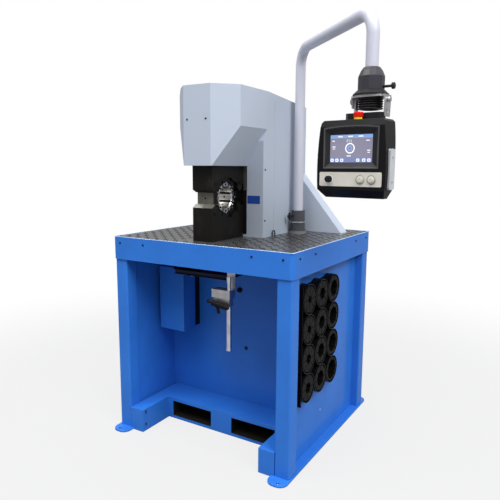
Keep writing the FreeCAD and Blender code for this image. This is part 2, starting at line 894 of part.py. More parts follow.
def gib(side):
    x0 = head_x + block_width / 2 + slide_gap
    y1 = y_of + column_front
    bar = box(x0, x0 + gib_width, y1 - gib_thick, y1, gib_bottom, gib_top)
    step = (cover_bottom - gib_bottom - 19) / (gib_screws - 1)
    at = (x0 + gib_width / 2, y1 - gib_thick)
    heights = [gib_bottom + 13 + step * k for k in range(gib_screws)]
    screws = [socket_screw(4.0, 2.0, (*at, z), (0, -1, 0)) for z in heights]
    if side < 0:
        return mirror_x(bar, head_x), [mirror_x(s, head_x) for s in screws]
    return bar, screws


def block_bolts(z):
    bolts = []
    for s in (-1, 1):
        for dy in (-block_bolt_y, block_bolt_y):
            at = (head_x + s * block_width / 2, ram_y + dy, z)
            bolts.append(socket_screw(8.0, 3.0, at, (s, 0, 0)))
    return bolts


def die_solid(phi, r_in, r_out, length):
    # one eighth of a thick ring, moved out from the crimp axis by the opening
    u = V(0, math.cos(math.radians(phi)), math.sin(math.radians(phi)))
    x0 = head_x - length / 2
    centre = V(x0, ram_y, crimp_z) + u * open_now
    apex = centre + u * (flank_gap / math.sin(half_die))
    far = 2 * r_out
    sides = []
    for s in (-1, 1):
        a = math.radians(phi) + s * half_die
        sides.append(apex + V(0, far * math.cos(a), far * math.sin(a)))
    wedge = Part.Face(Part.makePolygon([apex] + sides + [apex])).extrude(V(length, 0, 0))
    tube = ring(r_out, r_in, length, tuple(centre), (1, 0, 0))
    return wedge.common(tube)


def crimp_die(phi):
    # made level and turned to its place, with a relief at both mouths and a locating dimple in the bore
    die = die_solid(0, die_bore, die_back, die_length)
    centre = V(head_x, ram_y + open_now, crimp_z)
    for s in (-1, 1):
        base = centre + V(s * die_length / 2, 0, 0)
        die = die.cut(Part.makeCone(die_bore + 4.0, die_bore - 1.0, 5.0, base, V(-s, 0, 0)))
    die = die.cut(cyl(2.2, 8.0, (centre.x, centre.y + die_bore - 2, centre.z), (0, 1, 0)))
    die.rotate(V(head_x, ram_y, crimp_z), V(1, 0, 0), phi)
    return die


def die_pins(phi):
    u = V(0, math.cos(math.radians(phi)), math.sin(math.radians(phi)))
    centre = V(head_x, ram_y, crimp_z) + u * pin_ring
    pins = []
    for s in (-1, 1):
        base = centre + V(s * master_length / 2, 0, 0)
        pins.append(cyl(pin_radius, pin_proud, tuple(base), (s, 0, 0)))
    return pins


def master_die(phi):
    blank = die_solid(phi, die_back + slide_gap, master_reach, master_length)
    x0 = head_x - master_length / 2
    half = seat_outline(lower_mouth, lower_mouth + 1)
    g = slide_gap
    if phi % 90 == 45:
        sy = 1 if math.cos(math.radians(phi)) > 0 else -1
        sz = 1 if math.sin(math.radians(phi)) > 0 else -1
        wall = pocket_half - open_more * math.sin(2 * half_die) - 0.5
        slope = math.tan(half_die)
        ramp = (seat_depth - g) / math.cos(half_die)
        points = [(0, 0), (wall, 0), (wall, ramp - wall * slope), (0, ramp)]
        keep = prism_x([(ram_y + sy * u, crimp_z + sz * w) for u, w in points], x0, x0 + master_length)
    elif phi % 180 == 90:
        sz = 1 if phi == 90 else -1
        edge = seat_half - g
        points = [(-edge, 0), (edge, 0), (edge, seat_depth), (-edge, seat_depth)]
        keep = prism_x([(ram_y + u, crimp_z + sz * w) for u, w in points], x0, x0 + master_length)
    else:
        sy = 1 if phi == 0 else -1
        total = half[5][0] + half[5][1] - g * math.sqrt(2)
        points = [(0, -total), (peak_y, -(total - peak_y)), (peak_y, total - peak_y), (0, total)]
        keep = prism_x([(ram_y + sy * u, crimp_z + w) for u, w in points], x0, x0 + master_length)
    solid = blank.common(keep)
    if phi % 180 == 0:
        sy = 1 if phi == 0 else -1
        solid = solid.cut(cyl(4.0, 12.0, (head_x, ram_y + sy * peak_y, crimp_z), (0, -sy, 0)))
    return solid


# Cylinder and ram


def cylinder_parts():
    at = (head_x, ram_y, head_bottom + gland_h)
    tube = ring(barrel_out - 0.3, barrel_bore, head_top - head_bottom - gland_h - cap_h, at)
    gland = ring(rod_radius + 22.0, rod_radius + rod_play, 6.0, (head_x, ram_y, head_bottom - 6.0))
    cap = box(head_x - head_half + 4, head_x + head_half - 4, ram_y - cap_reach, ram_y + cap_reach,
              head_top, head_top + cap_h)
    plug = cyl(barrel_out - 0.3, cap_h, (head_x, ram_y, head_top - cap_h))
    cap = fuse([cap, plug])
    bolts = []
    for k in range(8):
        a = math.radians(22.5 + 45 * k)
        x, y = cap_bolt_circle * math.cos(a), cap_bolt_circle * math.sin(a)
        at = (head_x + x, ram_y + y, head_top + cap_h)
        bolts.append(hex_head(13.0, 7.0, at))
    return tube, gland, cap, bolts


def ram_parts():
    stroke_down = 2 * open_now
    z_piston = head_bottom + gland_h + stroke_down + 0.3
    piston = cyl(barrel_bore - 0.1, piston_h, (head_x, ram_y, z_piston))
    groove = (head_x, ram_y, z_piston + piston_h / 2 - 3)
    piston = piston.cut(ring(barrel_bore, barrel_bore - 4, 6, groove))
    seal = ring(barrel_bore - 0.1, barrel_bore - 4, 6, groove)
    rod = cyl(rod_radius, z_piston - tongue_top, (head_x, ram_y, tongue_top))
    nut = hex_head(60.0, 18.0, (head_x, ram_y, z_piston + piston_h))
    return piston, seal, rod, nut


# Sheet covers


def head_cover_form(t):
    x0, x1 = cover_left + t, cover_right - t
    y0 = y_of + cover_front + t
    y1 = y_of + cover_joint_y
    z0 = cover_bottom - (1 if t else 0)
    form = box(x0, x1, y0, y1, z0, cover_top - t)
    f = cover_facet + t * (2 - math.sqrt(2))
    for x, s in ((x0, 1), (x1, -1)):
        form = form.cut(prism_z([(x, y0), (x + s * f, y0), (x, y0 + f)], z0 - 1, cover_top))
        rise = undercut_top - cover_bottom
        lean = math.hypot(rise, undercut_in) / rise * t
        xi = x + s * undercut_in + s * (lean - t)
        top = undercut_top + (lean - t) * rise / undercut_in
        wedge = [(x - s, z0 - 1), (xi + s * (cover_bottom - z0 + 1) * undercut_in / rise, z0 - 1),
                 (x, top), (x - s, top)]
        form = form.cut(prism_y(wedge, y0 - 1, y1 + 1))
    c = cover_clip
    form = form.cut(prism_y([(x0 - 1, cover_top - t + 1), (x0 + c, cover_top - t + 1),
                             (x0 - 1, cover_top - t - c)], y0 - 1, y1 + 1))
    return form


def column_side(t):
    y0 = y_of + cover_face_y + t
    yk = y_of + cover_joint_y + t
    y1 = y_of + cover_back_y - t
    return [(y0, bench_height), (y0, cover_knee_z), (yk, undercut_top), (yk, cover_top - t),
            (y1, cover_back_top - t), (y1, bench_height)]


def head_cover():
    outer = head_cover_form(0)
    inner = head_cover_form(cover_wall)
    shell = outer.cut(inner)
    rear = prism_x(column_side(0), cover_left - 5, cover_right + 5)
    shell = shell.cut(rear)
    y = y_of + cover_front - 1
    holes = [cyl(3.0, 6.0, (head_x + dx, y, lift_hole_z), (0, 1, 0)) for dx in (-48, 46)]
    return shell.cut(holes[0]).cut(holes[1])


def column_cover():
    outer = prism_x(column_side(0), cover_left, cover_right)
    inner = prism_x(column_side(cover_wall), cover_left + cover_wall, cover_right - cover_wall)
    w = cover_wall
    mouth = box(cover_left + w, cover_right - w, y_of + cover_face_y + w, y_of + cover_back_y - w,
                bench_height - 1, bench_height + 1)
    shell = outer.cut(inner).cut(mouth)
    y0, y1 = y_of + cover_face_y - 1, y_of + cover_joint_y + cover_wall + 1
    arm = block_width / 2 + 1
    shell = shell.cut(box(head_x - arm, head_x + arm, y0, y1, bench_height - 1, gib_bottom - 2))
    side = block_width / 2 + slide_gap + gib_width + 1
    shell = shell.cut(box(head_x - side, head_x + side, y0, y1, gib_bottom - 2, head_bottom))
    head = head_half + 2
    return shell.cut(box(head_x - head, head_x + head, y0, y1, head_bottom - 2, head_top + 2))


def wing(side):
    y0, y1 = y_of + wing_front_y, y_of + cover_back_y
    x0 = cover_right
    slope = wing_rise / wing_reach

    def form(t):
        lean = t * math.hypot(1, slope)
        points = [(x0, bench_height), (x0 + wing_reach - lean / slope, bench_height),
                  (x0, bench_height + wing_rise - lean)]
        return prism_y(points, y0 + t, y1 - t)
    shell = form(0).cut(form(cover_wall))
    if side < 0:
        return mirror_x(shell, (cover_left + cover_right) / 2)
    return shell


def cover_screws():
    screws = []
    for z in (bench_height + cover_screw_low, bench_height + cover_screw_high):
        y = y_of + cover_face_y + 16
        screws.append(socket_screw(4.0, 2.0, (cover_right, y, z), (1, 0, 0)))
        screws.append(socket_screw(4.0, 2.0, (cover_left, y, z), (-1, 0, 0)))
    return screws


# Swing arm: flange, collars, bent tube


def pole_base():
    x, y, z = pole_x, pole_y, bench_height
    flange = cyl(base_disc, base_disc_h, (x, y, z))
    collar = cyl(base_neck, base_h - base_disc_h, (x, y, z + base_disc_h))
    collar = collar.makeFillet(3.0, [e for e in collar.Edges if e.BoundBox.ZMin > z + base_h - 1])
    stub = cyl(pole_radius - pole_wall - running_gap, 75.0, (x, y, z + base_h))
    bolts = []
    pitch = (base_disc + base_neck) / 2
    for k in range(4):
        a = math.radians(45 + 90 * k)
        at = (x + pitch * math.cos(a), y + pitch * math.sin(a), z + base_disc_h)
        bolts.append(socket_screw(3.2, 2.6, at, UP))
    return fuse([flange, collar, stub]), bolts


def pole_collar():
    z = bench_height + base_h + washer_h + slide_gap
    return ring(collar_radius, pole_radius + running_gap, collar_h, (pole_x, pole_y, z))


def pole_washer():
    z = bench_height + base_h
    return ring(collar_radius + 4.5, pole_radius - pole_wall, washer_h, (pole_x, pole_y, z))


def pole_handle():
    # clamping handle of the collar, towards the machine's head
    z = bench_height + base_h + washer_h + slide_gap + handle_up
    d = V(-0.3, -0.95, 0).normalize()
    root = V(pole_x, pole_y, z) + d * collar_radius
    tip = root + d * 14
    screw = cyl(4.0, 14.0, tuple(root), tuple(d))
    bar = cyl(6.5, 20.0, tuple(tip), tuple(d))
    grip = cyl(5.0, 34.0, tuple(tip + d * 10 - UP * 17), UP)
    return fuse([screw, bar, grip])


def pole_tube():
    a = V(pole_x, pole_y, bench_height + base_h + washer_h + slide_gap)
    top = V(pole_x, pole_y, pole_top)
    drop = V(drop_x, drop_y, pole_top)
    end = V(drop_x, drop_y, drop_bottom - socket_depth)
    along = (drop - top).normalize()
    r = bend_pole
    k = math.sin(math.pi / 4)
    b1, b2 = top - UP * r, top + along * r
    m1 = top + (along - UP) * r - (along - UP).normalize() * r
    c1, c2 = drop - along * r, drop - UP * r
    m2 = drop - (along + UP) * r + (along + UP).normalize() * r
    path = Part.Wire([Part.LineSegment(a, b1).toShape(), Part.Arc(b1, m1, b2).toShape(),
                      Part.LineSegment(b2, c1).toShape(), Part.Arc(c1, m2, c2).toShape(),
                      Part.LineSegment(c2, end).toShape()])
    outer, inner = [path.makePipeShell([Part.Wire([Part.Circle(a, UP, r).toShape()])], True, False)
                    for r in (pole_radius, pole_radius - pole_wall)]
    return outer.cut(inner)


# Panel joint and panel, made in the panel's own frame and then turned and placed


def place(shape):
    shape = shape.copy()
    shape.rotate(V(0, 0, 0), UP, panel_yaw)
    shape.translate(V(drop_x, drop_y, 0))
    return shape


def ring_of_sides(radius, z):
    turns = [math.radians(360.0 / cup_sides * (k + 0.5)) for k in range(cup_sides + 1)]
    return Part.makePolygon([V(radius * math.cos(a), radius * math.sin(a), z) for a in turns])


def coupling_cup():
    # faceted cap with a domed top that the drop tube stands in, fixed to the tube
    z0, z1 = drop_bottom - joint_drop, drop_bottom
    steps = [(cup_wide, z0), (cup_wide, z0 + cup_straight), (cup_shoulder, z0 + cup_straight + cup_curve),
             (cup_neck, z1)]
    body = Part.makeLoft([ring_of_sides(r, z) for r, z in steps], True, True)
    return body.cut(cyl(pole_radius + running_gap, socket_depth, (0, 0, z1 - socket_depth)))


def clamp_knob():
    # knob that locks the panel's swivel, on a short screw in the cap's right side
    z, r = drop_bottom - joint_drop + clamp_up, 2.5
    root = cup_wide * math.cos(math.radians(180.0 / cup_sides)) + slide_gap
    end = root + clamp_length - 1.0
    shaft = cyl(clamp_shaft, clamp_length, (root, 0, z), (1, 0, 0))
    head = cyl(clamp_head, clamp_head_h, (end, 0, z), (1, 0, 0))
    head = head.makeFillet(r, [e for e in head.Edges if e.BoundBox.XMin > end + clamp_head_h - 1.0])
    return fuse([shaft, head])


def coupling_skirt():
    z0, z1, r = swivel_top, swivel_top + skirt_h, skirt_radius
    profile = [(0, z0), (r, z0), (r, z0 + skirt_edge), (cup_wide - 0.5, z1), (0, z1)]
    face = Part.Face(Part.makePolygon([V(x, 0, z) for x, z in profile] + [V(0, 0, z0)]))
    return face.revolve(V(0, 0, 0), UP, 360)


def swivel_plate():
    left, right = lug_left_in - swivel_tab, lug_right_in - swivel_tab
    plate = box(-left, right, tilt_v - swivel_front, tilt_v + swivel_back, swivel_low, swivel_top)
    return round_upright(plate, 10.0)


def bellows():
    # folds that hang from the swivel plate, down to just above the tilting block
    z0, z1 = panel_top + bellows_low, swivel_low
    pitch = (z1 - z0) / bellows_folds
    r_in, r_out = bellows_in, bellows_out
    points = [(r_in, z0)]
    for k in range(bellows_folds):
        z = z0 + pitch * k
        points += [(r_out, z + pitch * 0.3), (r_out, z + pitch * 0.7), (r_out - 8, z + pitch)]
    points += [(r_in, z1)]
    face = Part.Face(Part.makePolygon([V(r, 0, z) for r, z in points] + [V(r_in, 0, z0)]))
    return face.revolve(V(0, 0, 0), UP, 360)


def tilt_lug(side):
    # lug that hangs from the swivel plate at one end of the tilt axis; the right one has the arc slot
    w, v = lug_thick, tilt_v
    u0 = lug_right_in if side > 0 else -lug_left_in - w
    inner = lug_right_in - swivel_tab if side > 0 else swivel_tab - lug_left_in
    low = tilt_z - (lug_right_low if side > 0 else lug_left_low)
    a, b = lug_half, lug_half + lug_flare
    lug = prism_x([(v - a, low), (v + a, low), (v + b, swivel_top), (v - b, swivel_top)], u0, u0 + w)
    tab = box(min(u0, inner), max(u0 + w, inner), v - b, v + b, swivel_low, swivel_top)
    lug = fuse([lug, tab]).cut(cyl(axle_radius + running_gap, w, (u0, v, tilt_z), (1, 0, 0)))
    if side > 0:
        slot = []
        for r, turn in ((slot_radius + slot_width / 2, 1), (slot_radius - slot_width / 2, -1)):
            for k in range(9):
                a = math.radians(-90 - turn * (20 - 5 * k))
                slot.append((v + r * math.cos(a), tilt_z + r * math.sin(a)))
        lug = lug.cut(prism_x(slot, u0, u0 + w))
    return lug


def tilt_base():
    # block on the panel's roof with two ears, each with a stub axle that runs in its lug
    top = panel_top + tilt_base_h
    v = tilt_v
    front = estop_v + estop_head + 1.0
    block = box(-tilt_base_left, tilt_base_right, front, v + tilt_base_back, panel_top, top)
    pieces = [round_upright(block, 12.0)]
    for s, lug_in in ((-1, lug_left_in), (1, lug_right_in)):
        inner = lug_in - slide_gap - ear_thick
        end = lug_in + lug_thick + axle_out
        u0, u1 = sorted((s * inner, s * (inner + ear_thick)))
        foot, tip = ear_foot, ear_tip
        ear = [(v - foot, top), (v + foot, top), (v + tip, tilt_z + tip), (v - tip, tilt_z + tip)]
        pieces.append(prism_x(ear, u0, u1))
        pieces.append(cyl(axle_radius, end - inner, (s * inner, v, tilt_z), (s, 0, 0)))
    return fuse(pieces)


def tilt_ends():
    # knob on the left end of the tilt axle and nut on its right end
    left, right = [lug + lug_thick + axle_out for lug in (lug_left_in, lug_right_in)]
    knob = cyl(tilt_knob_radius, tilt_knob_length, (-left, tilt_v, tilt_z), (-1, 0, 0))
    knob = knob.makeFillet(3.0, [e for e in knob.Edges if e.BoundBox.XMax < 1.0 - left - tilt_knob_length])
    nut = cyl(tilt_nut_radius, tilt_nut_length, (right, tilt_v, tilt_z), (1, 0, 0))
    return knob, nut


def panel_profile(t):
    # side view of the housing as (v, z): sloping chin, bevelled brow and a back that leans forward
    f, b, z, top = panel_front_v, panel_back_v, panel_bottom, panel_top
    return [(f + t, z + panel_chin), (f + t, top - panel_brow), (f + panel_corner + t, top - t),
            (b - t, top - t), (b - panel_slope - t, z + t), (f + panel_chin_depth + t * 0.6, z + t)]


def panel_outline(t):
    # front view of the housing as a wire: sides that bulge, cut lower corners
    c, w = (panel_left + panel_right) / 2, (panel_right - panel_left) / 2 - t
    low, knee, top = panel_bottom + t, panel_bottom + panel_chin, panel_top - t
    high, mid = panel_top - panel_corner, panel_bottom + panel_height * 0.35
    foot, shin, neck = w - panel_foot, w - 2.0, w - panel_shoulder
    y = panel_front_v - 1

    def at(u, z):
        return V(c + u, y, z)

    lines = [(foot, low, shin, knee), (neck, high, neck - panel_corner, top),
             (neck - panel_corner, top, panel_corner - neck, top), (panel_corner - neck, top, -neck, high),
             (-shin, knee, -foot, low), (-foot, low, foot, low)]
    edges = [Part.makeLine(at(a, b), at(d, e)) for a, b, d, e in lines]
    for s in (1, -1):
        edges.append(Part.Arc(at(s * shin, knee), at(s * w, mid), at(s * neck, high)).toShape())
    return Part.Wire(Part.__sortEdges__(edges))


def panel_solid(t):
    wide = Part.Face(panel_outline(t)).extrude(V(0, panel_back_v - panel_front_v + 2, 0))
    return wide.common(prism_x(panel_profile(t), panel_left, panel_right))


def panel_shell():
    w, front = panel_wall, panel_front_v
    shell = panel_solid(0).cut(panel_solid(w))
    hole = Part.Face(window_wire(frame_wall + slide_gap, front - 1))
    shell = shell.cut(hole.extrude(V(0, w + 2, 0)))
    for u, r in control_holes():
        shell = shell.cut(cyl(r, w + 2, (u, front - 1, control_z), (0, 1, 0)))
    return shell.cut(cyl(bezel_barrel + barrel_play, w + 2, (estop_u, estop_v, panel_top - w - 1)))


def control_holes():
    wide = bezel_barrel + barrel_play
    return [(knob_u, bush_radius + barrel_play), (push_u[0], wide), (push_u[1], wide)]


def round_front(plate, radius):
    edges = [e for e in plate.Edges if abs(e.tangentAt(e.FirstParameter).y) > 0.999]
    return plate.makeFillet(radius, edges)


def arched_wire(u0, u1, z0, z1, arch, y):
    mid = (u0 + u1) / 2
    sides = [(u0, z1, u0, z0), (u0, z0, u1, z0), (u1, z0, u1, z1)]
    edges = [Part.makeLine(V(a, y, b), V(c, y, d)) for a, b, c, d in sides]
    edges.append(Part.Arc(V(u1, y, z1), V(mid, y, z1 + arch), V(u0, y, z1)).toShape())
    return Part.Wire(edges)


def window_wire(grow, y):
    (u0, u1), (z0, z1) = window_u, window_z
    return arched_wire(u0 - grow, u1 + grow, z0 - grow, z1 + grow, window_arch, y)


def screen_wire(grow, y):
    (u0, u1), (z0, z1) = screen_u, screen_z
    return arched_wire(u0 - grow, u1 + grow, z0 - grow, z1 + grow, 0.5, y)


def screen_frame():
    # sunk frame that narrows from the arched opening down to the glass, with a thin lip in front
    front, deep, w = panel_front_v, panel_front_v + screen_depth, frame_wall
    lip = Part.Face(window_wire(2 * w, front - frame_lip)).extrude(V(0, frame_lip, 0))
    funnel = Part.makeLoft([window_wire(w, front), screen_wire(w, deep)], True, True)
    tray = Part.Face(screen_wire(w, deep)).extrude(V(0, screen_thick, 0))
    room = Part.makeLoft([window_wire(0, front), screen_wire(0, deep)], True, True)
    mouth = Part.Face(window_wire(0, front - frame_lip)).extrude(V(0, frame_lip, 0))
    well = Part.Face(screen_wire(0, deep)).extrude(V(0, screen_thick, 0))
    return fuse([lip, funnel, tray]).cut(room).cut(mouth).cut(well)


def screen_glass():
    deep = panel_front_v + screen_depth
    return Part.Face(screen_wire(0, deep)).extrude(V(0, screen_thick, 0))


def key_plate():
    y = panel_front_v
    plate = round_front(box(key_u[0], key_u[1], y - key_thick, y, key_z[0], key_z[1]), 5.0)
    for u, r in control_holes():
        plate = plate.cut(cyl(r, key_thick, (u, y - key_thick, control_z), (0, 1, 0)))
    return plate


def push_bezel(u):
    y = panel_front_v - key_thick
    bore = push_radius + running_gap
    flange = ring(bezel_radius, bore, 3.0, (u, y - 3.0, control_z), (0, 1, 0))
    barrel = ring(bezel_barrel, bore, 22.0, (u, y, control_z), (0, 1, 0))
    return fuse([flange, barrel])


def push_cap(u):
    y = panel_front_v - key_thick - 6.5
    cap = cyl(push_radius, 16.0, (u, y, control_z), (0, 1, 0))
    return cap.makeFillet(1.2, [e for e in cap.Edges if e.BoundBox.YMax < y + 0.1])


def selector_knob():
    y = panel_front_v - key_thick - 0.2
    skirt = cyl(knob_radius, 5.0, (knob_u, y, control_z), (0, -1, 0))
    grip = cyl(knob_radius - 2, 13.8, (knob_u, y, control_z), (0, -1, 0))
    bar = box(knob_u - 3.5, knob_u + 3.5, y - 16.8, y - 4.8, control_z - 11, control_z + 11)
    return fuse([skirt, grip, bar])


def selector_bush():
    y = panel_front_v - key_thick
    return cyl(bush_radius, 20.0, (knob_u, y, control_z), (0, 1, 0))


def estop_parts():
    u, v, z = estop_u, estop_v, panel_top
    bore = estop_stem + running_gap
    barrel = ring(bezel_barrel, bore, 24.0, (u, v, z - 24.0))
    low = z + estop_collar_h + estop_rise
    collar = fuse([ring(estop_collar, bore, estop_collar_h, (u, v, z)), barrel])
    stem = cyl(estop_stem, 20.0 + estop_collar_h, (u, v, z - 8.0))
    head = cyl(estop_head, 17.0, (u, v, low))
    head = head.makeFillet(4.0, [e for e in head.Edges if e.BoundBox.ZMin > low + 16.0])
    head = head.cut(cyl(estop_collar + 0.5, estop_travel, (u, v, low)))
    return collar, fuse([stem, head])


def side_pod():
    # slim cover on the housing's bulging right side
    v0, out = panel_front_v + pod_front, panel_right + pod_thick
    z0, z1 = panel_bottom + pod_bottom, panel_bottom + pod_top
    pod = box(panel_right - panel_shoulder, out, v0, v0 + pod_depth, z0, z1)
    edges = [e for e in pod.Edges if abs(e.tangentAt(e.FirstParameter).x) > 0.999]
    pod = pod.makeFillet(8.0, edges).cut(panel_solid(0))
    at = v0 + pod_depth / 2
    bolts = [socket_screw(4.0, 3.0, (out, at, z), (1, 0, 0)) for z in (z0 + 28, z1 - 26)]
    return pod, bolts


# Die rack: cups for the spare die sets


def cup_place(column, row):
    return cup_first_y + cup_pitch * column, cup_top_z - cup_pitch * row


def cup_depth():
    return cup_rim_x - skin_x - 2.0


def cup_column(column):
    x0 = skin_x + 2.0
    cups = []
    for row in range(cup_rows):
        y, z = cup_place(column, row)
        cup = cyl(cup_radius, cup_depth(), (x0, y, z), (1, 0, 0))
        cups.append(cup.cut(cyl(cup_radius - cup_wall, cup_depth(), (x0 + cup_wall, y, z), (1, 0, 0))))
    return cups


def rack_plate():
    w = 2.0
    y0 = cup_first_y - cup_radius - w - 0.5
    y1 = cup_first_y + cup_pitch * (cup_columns - 1)
    z0 = cup_top_z - cup_pitch * (cup_rows - 1) - cup_radius
    z1 = cup_top_z + cup_radius
    back = box(skin_x, skin_x + w, y0, y1, z0 + 10, z1 - 10)
    side = box(skin_x, cup_rim_x - 2, y0, y0 + w, z0, z1)
    return fuse([back, side])


def stored_dies(column):
    # one set in each cup, held together at its back, with eight dies round its own bore
    sets = []
    x0 = skin_x + 2.0 + cup_wall
    length = cup_depth() - cup_wall - stored_die_step
    for row in range(cup_rows):
        y, z = cup_place(column, row)
        bore = 14.0 + 2.6 * (column * cup_rows + row)
        ring_set = ring(stored_die_out, bore, length, (x0, y, z), (1, 0, 0))
        for k in range(4):
            slit = box(x0 + 6.0, x0 + length, y - 60, y + 60, z - stored_slit / 2, z + stored_slit / 2)
            slit.rotate(V(x0, y, z), V(1, 0, 0), 45.0 * k)
            ring_set = ring_set.cut(slit)
        sets.append(ring_set)
    return sets


def main():
    os.makedirs("parts", exist_ok=True)
    save("foot_plates", *foot_plates())
    save("corner_posts", *[corner_post(sx, sy) for sx in (-1, 1) for sy in (-1, 1)])
    right = side_panel()
    save("side_panels", right, mirror_x(right))
    save("rim_tray", rim_tray())
    save("rubber_mat", mat())
    save("cross_rails", *cross_rails())
    save("rim_screws", *rim_screws())
    save("base_box", base_box(), *fork_tubes())
    save("knee_panel", knee_panel())
    save("rear_panel", rear_panel(), rear_brace())
    tank, lid, filler = tank_parts()
    bell, motor, pump = motor_parts()
    block, coils = valve_parts()
    save("oil_tank", tank, lid, filler)
    save("motor_pump", motor, bell, pump)
    save("valve_block", block, *coils)
    save("pressure_pipe", *pressure_pipe())
    save("chip_tray", chip_tray())
    save("chip_runners", *chip_runners())
    body, door, door_screws = cabinet()
    save("cabinet_body", body)
    save("cabinet_cover", door, *door_screws)
    save("heat_sink", heat_sink())
    save("stop_bracket", stop_bracket(), stop_clamp())
    save("stop_rod", *stop_rod())
    save("stop_lever", stop_lever())

    save("c_frame", c_frame(), *block_bolts(crimp_z - block_bolt_low))
    save("ram_block", ram_block(), *block_bolts(crimp_z + block_bolt_high))
    bars, bar_screws = [], []
    for side in (-1, 1):
        bar, screws = gib(side)
        bars.append(bar)
        bar_screws.extend(screws)
    save("guide_strips", *bars, *bar_screws)
    for k, name in enumerate(die_names):
        phi = 360 // die_count * k
        save("die_%s" % name, master_die(phi), crimp_die(phi), *die_pins(phi))
    tube, gland, cap, cap_bolts = cylinder_parts()
    piston, seal, rod, nut = ram_parts()
    save("cylinder", tube, gland, cap, *cap_bolts)
    save("piston_rod", rod, piston, seal, nut)
    save("head_cover", head_cover())
    save("column_cover", column_cover(), *cover_screws())
    save("wing_covers", wing(1), wing(-1))

    base, base_bolts = pole_base()
    save("pole_base", base, *base_bolts)
    save("pole_collar", pole_collar(), pole_washer())
    save("pole_handle", pole_handle())
    save("pole_tube", pole_tube())
    save("coupling", place(coupling_cup()))
    save("swivel_joint", place(coupling_skirt()), place(swivel_plate()),
         *[place(tilt_lug(side)) for side in (-1, 1)])
    save("bellows", place(bellows()))
    save("tilt_base", place(tilt_base()), *[place(p) for p in tilt_ends()])
    save("clamp_knob", place(clamp_knob()))
    save("panel_housing", place(panel_shell()))
    save("screen", place(screen_frame()), place(screen_glass()))
    save("key_plate", place(key_plate()), place(selector_bush()))
    save("push_bezels", *[place(push_bezel(u)) for u in push_u])
    save("push_left", place(push_cap(push_u[0])))
    save("push_right", place(push_cap(push_u[1])))
    save("selector_knob", place(selector_knob()))
    collar, mushroom = estop_parts()
    save("stop_collar", place(collar))
    save("stop_button", place(mushroom))
    pod, pod_bolts = side_pod()
    save("side_pod", place(pod), *[place(b) for b in pod_bolts])
    cups, sets = [], []
    for column in range(cup_columns):
        cups.extend(cup_column(column))
        sets.extend(stored_dies(column))
    save("die_rack", rack_plate(), *cups)
    save("stored_dies", *sets)


main()
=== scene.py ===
import math

import bmesh
import bpy
from mathutils import Matrix, Vector


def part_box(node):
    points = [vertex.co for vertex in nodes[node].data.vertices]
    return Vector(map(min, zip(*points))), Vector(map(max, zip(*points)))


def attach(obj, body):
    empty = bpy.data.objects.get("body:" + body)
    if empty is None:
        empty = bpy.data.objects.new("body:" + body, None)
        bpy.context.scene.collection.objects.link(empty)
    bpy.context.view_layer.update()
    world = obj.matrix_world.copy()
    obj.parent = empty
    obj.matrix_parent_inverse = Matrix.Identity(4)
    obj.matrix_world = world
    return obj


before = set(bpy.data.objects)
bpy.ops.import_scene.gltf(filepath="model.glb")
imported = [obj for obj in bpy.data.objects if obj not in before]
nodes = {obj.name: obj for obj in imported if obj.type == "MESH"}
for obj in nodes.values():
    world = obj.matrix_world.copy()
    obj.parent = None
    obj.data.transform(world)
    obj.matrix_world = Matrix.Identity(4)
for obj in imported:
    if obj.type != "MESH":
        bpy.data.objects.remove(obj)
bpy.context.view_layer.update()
print("frame loaded:", len(nodes), "nodes")

mm = 0.001
bevelAngle = math.radians(32)     # only edges sharper than this are rounded


# shader helpers
class Wire:
    # one socket of a node tree, which can stand in a sum

    def __init__(self, maker, socket):
        self.maker = maker
        self.socket = socket

    def calc(self, operation, *values):
        return self.maker.node("ShaderNodeMath", {"operation": operation}, dict(enumerate(values)))

    def __add__(self, other):
        return self.calc("ADD", self, other)

    def __radd__(self, other):
        return self.calc("ADD", other, self)

    def __sub__(self, other):
        return self.calc("SUBTRACT", self, other)

    def __rsub__(self, other):
        return self.calc("SUBTRACT", other, self)

    def __mul__(self, other):
        return self.calc("MULTIPLY", self, other)

    def __rmul__(self, other):
        return self.calc("MULTIPLY", other, self)

    def most(self, other):
        return self.calc("MAXIMUM", self, other)


class Maker:
    # makes the nodes of one tree, each by the same method

    def __init__(self, tree):
        self.tree = tree

    def feed(self, socket, value):
        if isinstance(value, Wire):
            self.tree.links.new(value.socket, socket)
        else:
            socket.default_value = value

    def node(self, kind, settings=None, values=None, output=0):
        made = self.tree.nodes.new(kind)
        for key, value in (settings or {}).items():
            setattr(made, key, value)
        for key, value in (values or {}).items():
            self.feed(made.inputs[key], value)
        return Wire(self, made.outputs[output])

    def rays(self, glossy):
        # 1 where the camera looks straight or through glass, less in a reflection
        path = self.node("ShaderNodeLightPath").socket.node.outputs
        seen = Wire(self, path["Is Camera Ray"]).most(Wire(self, path["Is Transmission Ray"]))
        return seen.most(Wire(self, path["Is Glossy Ray"]) * glossy)


